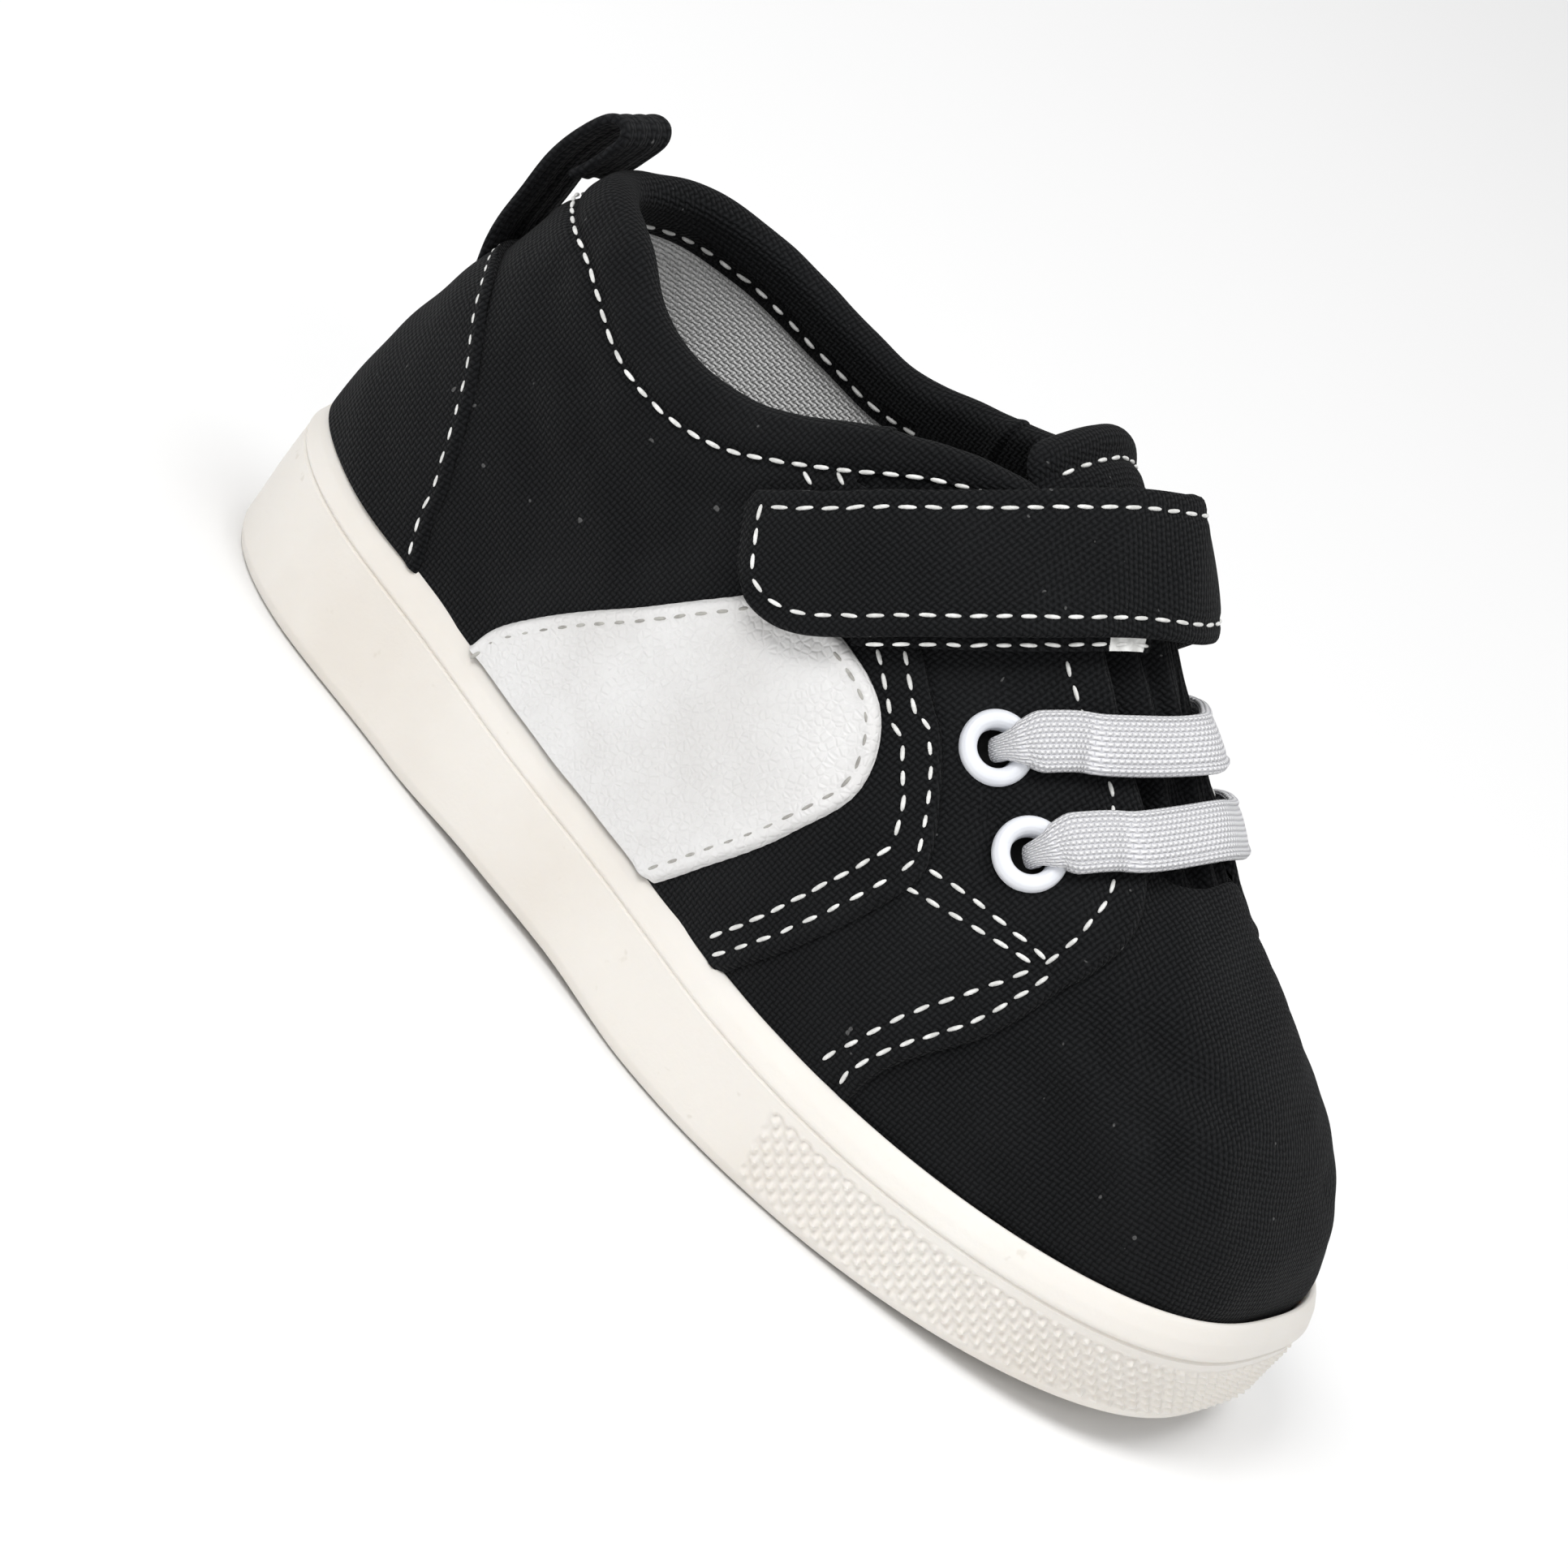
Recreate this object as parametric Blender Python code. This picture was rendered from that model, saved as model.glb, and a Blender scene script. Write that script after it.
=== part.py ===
"""A toddler's low canvas trainer, right shoe, with a hook-and-loop strap.

Row frame: +X to the toe, +Y to the medial side, +Z up. The origin is on the
ground under the middle of the shoe. Sizes below are millimetres.
"""
import math

import bmesh
import bpy
import numpy as np

for old in list(bpy.data.objects):
    bpy.data.objects.remove(old)

MM = 0.001

# ---- driving dimensions, mm -------------------------------------------------
sole_length = 156.0      # over the parting line of the cup sole
heel_width = 48.0
waist_width = 58.5
ball_width = 70.0
toe_swing = 11.5         # how far the toe centre swings to the medial side
toe_spring = 4.2         # how far the toe end of the sole is off the ground
wall_height_heel = 19.5  # ground to the top of the sole wall, at the heel
wall_height_drop = 4.7   # how much lower the wall is at the toe
sole_lip_drop = 4.0      # parting line below the top of the wall
sole_floor = 8.5         # thickness of the sole under the foot
arch_rise = 0.8
upper_wall = 1.9         # cloth and lining together
collar_wall = 3.6        # rolled and padded edge
upper_gap = 0.35         # between upper and cup
insole_thick = 3.0
tongue_thick = 2.2
tongue_half_width = 14.0
strap_width = 16.6
strap_thick = 1.8
lace_width = 7.0
lace_thick = 1.3
eyelet_outer = 8.7
eyelet_hole = 4.6
eyelet_thick = 1.0
loop_width = 11.2
loop_thick = 1.3

N = 84                   # stations round the shoe


def smooth(a, b, x):
    t = np.clip((x - a) / (b - a), 0.0, 1.0)
    return t * t * (3.0 - 2.0 * t)


def outline(t, inset):
    """Plan of the shoe, t = 0 at the heel, pi at the toe, lateral side first."""
    length = sole_length - 2.0 * inset
    s = (1.0 - np.cos(t)) / 2.0
    side = np.where(np.sin(t) >= 0.0, -1.0, 1.0)
    hw = heel_width / 2.0 - inset
    bw = ball_width / 2.0 - inset
    ww = waist_width / 2.0 - inset
    w = hw + (ww - hw) * smooth(0.15, 0.42, s) + (bw - ww) * smooth(0.38, 0.70, s)
    rh = np.clip((0.20 - s) / 0.20, 0.0, 1.0)
    rt = np.clip((s - 0.68) / 0.32, 0.0, 1.0)
    w = w * (1.0 - rh ** 2.15) ** (1.0 / 2.15) * (1.0 - rt ** 2.7) ** (1.0 / 2.7)
    hollow = 4.0 * np.exp(-((s - 0.42) / 0.13) ** 2) * (side > 0.0)
    yc = toe_swing * smooth(0.55, 1.0, s)
    return (s - 0.5) * length, yc + side * (w - hollow), s


# the shapes below are drawn about the heel's centre line; the row's origin is
# under the middle of the whole sole
centre_y = (outline(np.arange(N) * 2.0 * math.pi / N, 0.0)[1].max()
            + outline(np.arange(N) * 2.0 * math.pi / N, 0.0)[1].min()) / 2.0


def spring(s):
    return toe_spring * np.clip((s - 0.72) / 0.28, 0.0, 1.0) ** 1.8


def arch(s):
    return arch_rise * smooth(0.27, 0.37, s) * (1.0 - smooth(0.46, 0.57, s))


def rim(s):
    return wall_height_heel - wall_height_drop * s + spring(s)


def floor_z(s):
    return sole_floor + spring(s)


def periodic(keys, t):
    """Smooth closed curve through rows of (station, values...)."""
    keys = np.array(keys, float)
    k = keys[:, 0]
    vals = keys[:, 1:]
    n = len(k)
    kk = np.concatenate([k[-2:] - 2.0, k, k[:3] + 2.0])
    vv = np.concatenate([vals[-2:], vals, vals[:3]])
    out = np.zeros((len(t), vals.shape[1]))
    for i, u in enumerate(t):
        u = u % 2.0
        j = int(np.searchsorted(kk, u, side="right")) - 1
        j = min(max(j, 1), n + 3)
        h = kk[j + 1] - kk[j]
        f = (u - kk[j]) / h
        m0 = (vv[j + 1] - vv[j - 1]) / (kk[j + 1] - kk[j - 1]) * h
        m1 = (vv[j + 2] - vv[j]) / (kk[j + 2] - kk[j]) * h
        out[i] = ((2 * f ** 3 - 3 * f ** 2 + 1) * vv[j] + (f ** 3 - 2 * f ** 2 + f) * m0
                  + (-2 * f ** 3 + 3 * f ** 2) * vv[j + 1] + (f ** 3 - f ** 2) * m1)
    return out


def open_curve(points, count):
    """Smooth open curve through points, resampled evenly."""
    p = np.array(points, float)
    d = np.concatenate([[0.0], np.cumsum(np.linalg.norm(np.diff(p[:, :3], axis=0), axis=1))])
    m = np.zeros_like(p)
    m[1:-1] = (p[2:] - p[:-2]) / (d[2:] - d[:-2])[:, None]
    m[0] = (p[1] - p[0]) / (d[1] - d[0])
    m[-1] = (p[-1] - p[-2]) / (d[-1] - d[-2])
    fine = np.linspace(0.0, d[-1], 400)
    j = np.clip(np.searchsorted(d, fine, side="right") - 1, 0, len(d) - 2)
    h = (d[j + 1] - d[j])
    f = ((fine - d[j]) / h)[:, None]
    h = h[:, None]
    q = ((2 * f ** 3 - 3 * f ** 2 + 1) * p[j] + (f ** 3 - 2 * f ** 2 + f) * m[j] * h
         + (-2 * f ** 3 + 3 * f ** 2) * p[j + 1] + (f ** 3 - f ** 2) * m[j + 1] * h)
    e = np.concatenate([[0.0], np.cumsum(np.linalg.norm(np.diff(q[:, :3], axis=0), axis=1))])
    want = np.linspace(0.0, e[-1], count)
    return np.stack([np.interp(want, e, q[:, i]) for i in range(q.shape[1])], axis=1)


# ---- the upper's outer surface -----------------------------------------------
# station (0 heel, 1 toe, 2 heel again), top line x y z, handle at the top line
# dx dy dz, handle length at the sole, lean of that handle outward
TOP = [
    (0.00, -67.8, 0.0, 60.6, -3.0, 0.0, -14.0, 14.0, 0.5),
    (0.12, -63.5, -10.5, 62.0, -2.0, -2.0, -14.0, 14.0, 0.3),
    (0.22, -55.0, -17.2, 61.8, -1.0, -3.0, -14.0, 14.0, 0.0),
    (0.32, -43.0, -20.3, 57.6, 0.0, -3.0, -13.0, 14.0, 0.0),
    (0.40, -30.0, -20.6, 59.6, 0.0, -3.0, -14.0, 15.0, 0.0),
    (0.465, -17.0, -18.6, 68.0, 0.0, -4.5, -17.0, 17.0, 0.0),
    (0.515, -7.0, -14.2, 73.0, 0.5, -8.0, -17.0, 18.0, 0.0),
    (0.56, 2.0, -9.0, 73.0, 0.5, -10.0, -15.5, 18.5, 0.0),
    (0.60, 11.0, -5.8, 66.6, -0.5, -11.0, -12.5, 18.5, 0.0),
    (0.66, 20.0, -5.0, 60.8, -1.0, -11.5, -10.0, 18.0, 0.0),
    (0.73, 29.0, -5.0, 55.4, 1.5, -12.0, -8.0, 17.5, 0.0),
    (0.80, 36.0, -3.8, 52.0, 8.0, -12.5, -8.0, 17.0, 0.0),
    (0.88, 39.8, -0.4, 52.8, 15.0, -11.0, -8.4, 16.0, 0.0),
    (1.00, 40.8, 5.2, 54.0, 19.5, 2.0, -9.6, 15.0, 0.3),
    (1.12, 39.8, 10.4, 52.4, 13.5, 9.0, -9.8, 13.5, 0.0),
    (1.20, 36.0, 13.6, 51.6, 8.0, 10.5, -10.0, 14.5, 0.0),
    (1.27, 29.0, 14.8, 55.4, 1.5, 12.0, -8.0, 17.5, 0.0),
    (1.34, 20.0, 14.4, 60.8, -1.0, 11.5, -10.0, 18.0, 0.0),
    (1.40, 11.0, 14.8, 66.6, -0.5, 11.0, -12.5, 18.5, 0.0),
    (1.44, 2.0, 16.0, 73.0, 0.5, 10.0, -15.5, 18.5, 0.0),
    (1.485, -7.0, 18.4, 72.6, 0.5, 8.0, -17.0, 18.0, 0.0),
    (1.535, -18.0, 20.6, 67.0, 0.0, 4.5, -17.0, 17.0, 0.0),
    (1.60, -31.0, 21.4, 61.6, 0.0, 3.0, -14.0, 15.0, 0.0),
    (1.68, -43.0, 20.6, 61.0, 0.0, 3.0, -13.0, 14.0, 0.0),
    (1.78, -54.0, 18.0, 61.9, -1.0, 3.0, -14.0, 14.0, 0.0),
    (1.88, -63.5, 11.0, 62.0, -2.0, 2.0, -14.0, 14.0, 0.3),
]

stations = np.arange(N) * 2.0 / N
angle = stations * math.pi
ROWS_CUP = 3
ROWS_UP = 13


def upper_rows(at):
    """Outer surface of the upper: rows from inside the cup to the top line."""
    t = np.asarray(at) * math.pi
    key = periodic(TOP, np.asarray(at))
    x0, y0, s = outline(t, 2.6 + upper_gap + 0.8)
    x1, y1, s = outline(t, 2.6 + upper_gap)
    foot = np.stack([x0, y0, floor_z(s) + 0.4], axis=1)
    lip = np.stack([x1, y1, rim(s)], axis=1)
    xa, ya, _ = outline(t, 1.0)
    xb, yb, _ = outline(t, 3.0)
    out = np.stack([xa - xb, ya - yb, np.zeros_like(xa)], axis=1)
    out /= np.maximum(np.linalg.norm(out, axis=1), 1e-9)[:, None]
    rows = [foot + (lip - foot) * f for f in np.linspace(0.0, 1.0, ROWS_CUP)]
    up = np.array([0.0, 0.0, 1.0])
    p0 = lip
    p1 = lip + up * key[:, 6:7] + out * key[:, 7:8]
    p3 = key[:, 0:3]
    p2 = p3 + key[:, 3:6]
    for f in np.linspace(0.0, 1.0, ROWS_UP)[1:]:
        rows.append((1 - f) ** 3 * p0 + 3 * f * (1 - f) ** 2 * p1 + 3 * f * f * (1 - f) * p2 + f ** 3 * p3)
    return np.array(rows)


def grid_normals(rows):
    du = np.roll(rows, -1, axis=1) - np.roll(rows, 1, axis=1)
    dv = np.gradient(rows, axis=0)
    n = np.cross(du, dv)
    return n / np.maximum(np.linalg.norm(n, axis=2), 1e-9)[:, :, None]


# ---- mesh helpers -------------------------------------------------------------
def collection(name):
    c = bpy.data.collections.new(name)
    bpy.context.scene.collection.children.link(c)
    return c


SHOE = collection("tennis shoe")


def material(name, colour, roughness, metallic=0.0):
    m = bpy.data.materials.new(name)
    m.use_nodes = True
    b = m.node_tree.nodes["Principled BSDF"]
    b.inputs["Base Color"].default_value = (*colour, 1.0)
    b.inputs["Roughness"].default_value = roughness
    b.inputs["Metallic"].default_value = metallic
    m.diffuse_color = (*colour, 1.0)
    return m


def solid(name, verts, faces, mat, sharp_deg=40.0):
    mesh = bpy.data.meshes.new(name)
    mesh.from_pydata([(float(v[0]) * MM, float(v[1] - centre_y) * MM, float(v[2]) * MM) for v in verts],
                     [], [tuple(f) for f in faces])
    bm = bmesh.new()
    bm.from_mesh(mesh)
    bmesh.ops.recalc_face_normals(bm, faces=bm.faces)
    bm.to_mesh(mesh)
    bm.free()
    mesh.polygons.foreach_set("use_smooth", [True] * len(mesh.polygons))
    mesh.set_sharp_from_angle(angle=math.radians(sharp_deg))
    mesh.materials.append(mat)
    obj = bpy.data.objects.new(name, mesh)
    SHOE.objects.link(obj)
    return obj


def ring_loft(rings, caps):
    """Rings of equal length in order. caps: ladder-filled first and last ring."""
    rings = np.array(rings)
    r, n = rings.shape[:2]
    verts = rings.reshape(-1, 3)
    faces = []
    for a in range(r - 1):
        for b in range(n):
            c = (b + 1) % n
            faces.append((a * n + b, a * n + c, (a + 1) * n + c, (a + 1) * n + b))
    if caps:
        for base in (0, (r - 1) * n):
            for b in range(n // 2):
                q = [base + b, base + b + 1, base + (n - b - 1) % n, base + (n - b) % n]
                f = []
                for v in q:
                    if v not in f:
                        f.append(v)
                faces.append(tuple(f))
    return verts, faces


def tube_grid(loops, closed_ends=True):
    """Cross-section loops along a path; flat n-gon ends."""
    loops = np.array(loops)
    r, n = loops.shape[:2]
    verts = loops.reshape(-1, 3)
    faces = []
    for a in range(r - 1):
        for b in range(n):
            c = (b + 1) % n
            faces.append((a * n + b, a * n + c, (a + 1) * n + c, (a + 1) * n + b))
    if closed_ends:
        faces.append(tuple(range(n)))
        faces.append(tuple((r - 1) * n + i for i in reversed(range(n))))
    return verts, faces


# ---- cup sole -------------------------------------------------------------------
def sole_ring(inset, height):
    x, y, s = outline(angle, inset)
    return np.stack([x, y, height(s)], axis=1)


sole_rings = [
    sole_ring(7.0, lambda s: spring(s) + arch(s)),
    sole_ring(2.6, lambda s: spring(s) + arch(s)),
    sole_ring(1.4, lambda s: spring(s) + arch(s) + 0.45),
    sole_ring(0.8, lambda s: spring(s) + arch(s) * 0.6 + 1.8),
    sole_ring(0.7, lambda s: (spring(s) + 0.45 * (rim(s) - spring(s)))),
    sole_ring(0.15, lambda s: rim(s) - sole_lip_drop - 0.5),
    sole_ring(0.0, lambda s: rim(s) - sole_lip_drop),
    sole_ring(0.25, lambda s: rim(s) - sole_lip_drop + 0.6),
    sole_ring(1.55, lambda s: rim(s) - 0.7),
    sole_ring(1.95, lambda s: rim(s) - 0.15),
    sole_ring(2.3, lambda s: rim(s)),
    sole_ring(2.6, lambda s: rim(s) - 0.3),
    sole_ring(3.0, lambda s: floor_z(s) + 0.8),
    sole_ring(3.6, lambda s: floor_z(s)),
    sole_ring(8.0, lambda s: floor_z(s)),
]
v, f = ring_loft(sole_rings, caps=True)
cup_sole = solid("cup_sole", v, f, material("sole_rubber", (0.86, 0.82, 0.74), 0.55), 50.0)

# ---- upper ----------------------------------------------------------------------
outer = upper_rows(stations)
normal = grid_normals(outer)
rows_total = outer.shape[0]
level = np.linspace(0.0, 1.0, rows_total)
arc = np.concatenate([[np.zeros(N)], np.cumsum(np.linalg.norm(np.diff(outer, axis=0), axis=2), axis=0)])
left = arc[-1][None, :] - arc                      # distance down from the top line
on_throat = smooth(0.45, 0.53, np.minimum(stations, 2.0 - stations))
edge_extra = (collar_wall - upper_wall) * (1.0 - on_throat)
thick = upper_wall + edge_extra[None, :] * (1.0 - smooth(1.5, 7.5, left))
inner = outer - normal * thick[:, :, None]
inner[0, :, 2] = outer[0, :, 2]
top_mid = (outer[-1] + inner[-1]) / 2.0
tangent = outer[-1] - outer[-2]
tangent /= np.linalg.norm(tangent, axis=1)[:, None]
top_mid = top_mid + tangent * (thick[-1] * 0.38)[:, None]
outer_in = outer[-1] * 0.86 + inner[-1] * 0.14 + tangent * (thick[-1] * 0.24)[:, None]
inner_in = outer[-1] * 0.14 + inner[-1] * 0.86 + tangent * (thick[-1] * 0.24)[:, None]
wall = list(outer) + [outer_in, top_mid, inner_in] + list(inner[::-1])
wall = np.array(wall)
r = wall.shape[0]
verts = wall.reshape(-1, 3)
faces = []
for a in range(r):
    nxt = (a + 1) % r
    for b in range(N):
        c = (b + 1) % N
        faces.append((a * N + b, a * N + c, nxt * N + c, nxt * N + b))
upper = solid("upper", verts, faces, material("canvas", (0.016, 0.017, 0.019), 0.9), 60.0)

# ---- insole ----------------------------------------------------------------------
insole_inset = 2.6 + upper_gap + 0.8 + upper_wall + 0.6
insole_rings = [
    sole_ring(insole_inset + 5.0, lambda s: floor_z(s) + 0.35),
    sole_ring(insole_inset + 0.4, lambda s: floor_z(s) + 0.35),
    sole_ring(insole_inset, lambda s: floor_z(s) + 0.8),
    sole_ring(insole_inset, lambda s: floor_z(s) + insole_thick - 0.2),
    sole_ring(insole_inset + 0.7, lambda s: floor_z(s) + insole_thick + 0.35),
    sole_ring(insole_inset + 6.0, lambda s: floor_z(s) + insole_thick + 0.35),
]
v, f = ring_loft(insole_rings, caps=True)
insole = solid("insole", v, f, material("insole_foam", (0.42, 0.42, 0.40), 0.9))

# ---- tongue ------------------------------------------------------------------------
RIDGE = [  # ridge x y z, drop per square mm, half width
    (47.5, 5.6, 46.2, 0.040, 12.5),
    (41.0, 5.2, 49.6, 0.050, 13.5),
    (34.0, 5.1, 53.6, 0.060, 13.5),
    (26.0, 5.0, 59.2, 0.068, 13.5),
    (16.0, 4.8, 66.0, 0.075, 12.8),
    (7.0, 4.4, 72.2, 0.084, 11.0),
    (1.4, 4.0, 77.2, 0.078, 9.6),
    (-3.8, 3.6, 82.0, 0.044, 10.8),
]
ridge = open_curve(RIDGE, 16)
across = np.linspace(-1.0, 1.0, 11)


def tongue_top(row, w):
    half = row[4] * tongue_half_width / 14.0
    d = w * half
    drop = row[3] * d * d / (1.0 + 0.0015 * d * d)
    return np.array([row[0] - 0.15 * drop, row[1] + d, row[2] - drop])


sheet = np.array([[tongue_top(row, w) for w in across] for row in ridge])
du = np.gradient(sheet, axis=0)
dw = np.gradient(sheet, axis=1)
n = np.cross(du, dw)
n /= np.linalg.norm(n, axis=2)[:, :, None]
if n[5, 5, 2] < 0:
    n = -n
fat = np.ones((len(ridge), len(across)))
fat[:, 0] = fat[:, -1] = 0.55
fat[0, :] *= 0.6
fat[-1, :] *= 0.7
under = sheet - n * (tongue_thick * fat)[:, :, None]
rows_t, cols_t = sheet.shape[:2]
loops = []
for a in range(rows_t):
    loops.append(np.concatenate([sheet[a], under[a][::-1]]))
v, f = tube_grid(loops, closed_ends=False)
m = 2 * cols_t
for end, flip in ((0, False), (rows_t - 1, True)):
    for b in range(cols_t - 1):
        q = (end * m + b, end * m + b + 1, end * m + m - 2 - b, end * m + m - 1 - b)
        f.append(q[::-1] if flip else q)
tongue = solid("tongue", v, f, material("tongue_canvas", (0.016, 0.017, 0.019), 0.9), 50.0)


# ---- ribbons: strap, laces, pull loop -------------------------------------------------
def ribbon(name, path, widthwise, width, thick, mat, sides=None):
    """A flat strip: path points on its outer face centre line, widthwise unit vectors."""
    path = np.array(path)
    tan = np.gradient(path, axis=0)
    tan /= np.linalg.norm(tan, axis=1)[:, None]
    w = np.array(widthwise, float)
    w -= tan * np.sum(w * tan, axis=1)[:, None]
    w /= np.linalg.norm(w, axis=1)[:, None]
    nrm = np.cross(tan, w)
    mid = len(path) // 2
    if nrm[mid, 2] < 0:
        nrm = -nrm
    h = width / 2.0
    scale = np.ones((len(path), 2)) if sides is None else np.array(sides)
    e = min(thick * 0.35, 0.5)
    section = [(-h, -e), (-h + e, 0.0), (0.0, 0.0), (h - e, 0.0), (h, -e),
               (h, -thick + e), (h - e, -thick), (0.0, -thick), (-h + e, -thick), (-h, -thick + e)]
    loops = []
    for i in range(len(path)):
        loops.append([path[i] + w[i] * a * scale[i][1 if a > 0 else 0] + nrm[i] * b for a, b in section])
    v, f = tube_grid(loops)
    return solid(name, v, f, mat, 35.0)


STRAP = [  # outer-face centre line x y z, widthwise direction x y z
    (-16.6, -27.2, 50.6, 0.86, -0.20, -0.46),
    (-10.5, -25.8, 56.2, 0.84, -0.22, -0.50),
    (-3.0, -22.0, 63.4, 0.80, -0.22, -0.56),
    (4.4, -14.6, 70.2, 0.76, -0.15, -0.63),
    (10.8, -4.4, 75.6, 0.72, -0.05, -0.69),
    (14.2, 6.6, 77.0, 0.70, 0.03, -0.71),
    (9.8, 17.5, 73.0, 0.76, 0.15, -0.63),
    (3.2, 26.0, 63.0, 0.82, 0.22, -0.53),
    (-3.0, 30.0, 52.0, 0.88, 0.22, -0.42),
    (-8.4, 31.2, 43.6, 0.92, 0.16, -0.36),
]
fine = open_curve(STRAP, 241)
run = np.concatenate([[0.0], np.cumsum(np.linalg.norm(np.diff(fine[:, :3], axis=0), axis=1))])
stops = np.concatenate([[0.0, 0.35, 1.0, 2.0, 3.6, 5.8], np.linspace(8.5, run[-1], 25)])
sp = np.stack([np.interp(stops, run, fine[:, i]) for i in range(6)], axis=1)


def corner(dist, radius):
    d = np.clip(radius - dist, 0.0, radius)
    return 1.0 - (radius - np.sqrt(radius * radius - d * d)) / (strap_width / 2.0)


# the free end: a small rear corner and a large front one
sides = np.stack([corner(stops, 1.4), corner(stops, 5.8)], axis=1)
strap = ribbon("strap", sp[:, :3], sp[:, 3:6], strap_width, strap_thick,
               material("strap_canvas", (0.016, 0.017, 0.019), 0.9), sides=sides)

LOOP = [(-73.6, 45.5), (-73.9, 50.5), (-74.1, 56.0), (-73.7, 61.5), (-72.0, 65.6), (-70.2, 66.9),
        (-69.1, 65.4), (-69.9, 62.2), (-71.1, 58.5)]
lp = open_curve([(x, 0.0, z) for x, z in LOOP], 17)
t2 = np.gradient(lp, axis=0)
t2 /= np.linalg.norm(t2, axis=1)[:, None]
ribbon("pull_loop", lp, np.tile(np.array([0.0, 1.0, 0.0]), (len(lp), 1)), loop_width, loop_thick,
       material("webbing", (0.018, 0.018, 0.020), 0.85))

# ---- eyelets ---------------------------------------------------------------------------
EYELETS = {  # station, how far up the upper's path from the sole
    "eyelet_lateral_1": (0.675, 0.64),
    "eyelet_lateral_2": (0.612, 0.69),
    "eyelet_medial_1": (1.325, 0.64),
    "eyelet_medial_2": (1.388, 0.69),
}
eyelet_mat = material("eyelet_plastic", (0.80, 0.82, 0.86), 0.35)


def surface_point(station, frac):
    pts = []
    for d in (-0.004, 0.0, 0.004):
        rows = upper_rows(np.array([station + d]))[ROWS_CUP - 1:, 0]
        g = np.linspace(0.0, 1.0, len(rows))
        pts.append([np.array([np.interp(q, g, rows[:, k]) for k in range(3)])
                    for q in (frac - 0.03, frac, frac + 0.03)])
    a = pts[2][1] - pts[0][1]
    b = pts[1][2] - pts[1][0]
    nn = np.cross(a, b)
    nn /= np.linalg.norm(nn)
    return pts[1][1], nn, b / np.linalg.norm(b)


for name, (station, frac) in EYELETS.items():
    c, nn, up_dir = surface_point(station, frac)
    e2 = np.cross(nn, up_dir)
    lift = 0.75
    loops = []
    ro, ri, th = eyelet_outer / 2.0, eyelet_hole / 2.0, eyelet_thick
    section = [(ri, th * 0.35), (ri + 0.35, th * 0.9), ((ri + ro) / 2.0, th), (ro - 0.35, th * 0.65),
               (ro, 0.12), (ro - 0.1, 0.0), (ri + 0.1, 0.0)]
    count = 18
    for k in range(count):
        q = 2.0 * math.pi * k / count
        rad = up_dir * math.cos(q) + e2 * math.sin(q)
        loops.append([c + rad * a + nn * (b + lift) for a, b in section])
    loops = np.array(loops)
    verts = loops.reshape(-1, 3)
    mm = len(section)
    faces = []
    for a in range(count):
        nxt = (a + 1) % count
        for b in range(mm):
            d = (b + 1) % mm
            faces.append((a * mm + b, a * mm + d, nxt * mm + d, nxt * mm + b))
    solid(name, verts, faces, eyelet_mat, 40.0)

# ---- laces: two flat elastic bars, one over each pair of eyelets ------------------------
lace_mat = material("lace_elastic", (0.70, 0.70, 0.74), 0.85)
BARS = {  # (station, how far up) from the lateral eyelet to the facing's edge; top of the bar
    "lace_lower": (((0.675, 0.64), (0.702, 0.74), (0.729, 0.86), (0.754, 0.965)), (36.6, 5.0, 57.0)),
    "lace_upper": (((0.612, 0.69), (0.634, 0.78), (0.656, 0.87), (0.676, 0.965)), (28.2, 5.0, 63.0)),
}
lift_over = (0.0, 0.05, -0.1, -0.3)
for name, (half, crown) in BARS.items():
    crown = np.array(crown)
    over = eyelet_thick + 0.75 + 0.55 + lace_thick
    pts, face = [], []
    for (station, frac), extra in zip(half, lift_over):
        p, n, _ = surface_point(station, frac)
        pts.append(p + n * (over + extra))
        face.append(n)
    pts.append(crown)
    face.append(np.array([0.62, 0.0, 0.785]))
    for (station, frac), extra in zip(half[::-1], lift_over[::-1]):
        p, n, _ = surface_point(2.0 - station, frac)
        pts.append(p + n * (over + extra))
        face.append(n)
    both = open_curve([np.concatenate([p, q]) for p, q in zip(pts, face)], 19)
    path = both[:, :3]
    along = np.gradient(path, axis=0)
    ribbon(name, path, np.cross(both[:, 3:6], along), lace_width, lace_thick, lace_mat)
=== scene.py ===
# %% [markdown]
# # A toddler's canvas trainer
# This lesson dresses a plain CAD shoe as a real one: black woven canvas, an
# ivory cup sole, a hook-and-loop strap and two flat elastic laces. The CAD
# solids are loaded first and never moved; every finished piece is laid over
# the same shapes, so it fits with no measuring.

# %% Load the frame
import math

import bpy
import numpy as np
from mathutils import Matrix, Vector, kdtree


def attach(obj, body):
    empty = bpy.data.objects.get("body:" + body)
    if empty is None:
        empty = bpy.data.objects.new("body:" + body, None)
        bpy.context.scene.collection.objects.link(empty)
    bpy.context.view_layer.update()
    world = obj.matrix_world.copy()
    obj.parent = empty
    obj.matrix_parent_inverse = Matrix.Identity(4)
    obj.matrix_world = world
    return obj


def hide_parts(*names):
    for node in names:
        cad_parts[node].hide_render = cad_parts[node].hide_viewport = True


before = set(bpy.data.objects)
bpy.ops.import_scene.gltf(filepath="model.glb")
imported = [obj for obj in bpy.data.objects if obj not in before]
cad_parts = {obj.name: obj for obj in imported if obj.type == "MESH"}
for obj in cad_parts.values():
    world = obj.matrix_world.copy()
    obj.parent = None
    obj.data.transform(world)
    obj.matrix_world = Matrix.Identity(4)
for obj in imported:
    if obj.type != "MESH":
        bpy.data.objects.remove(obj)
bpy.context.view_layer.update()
MM = 0.001

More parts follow.
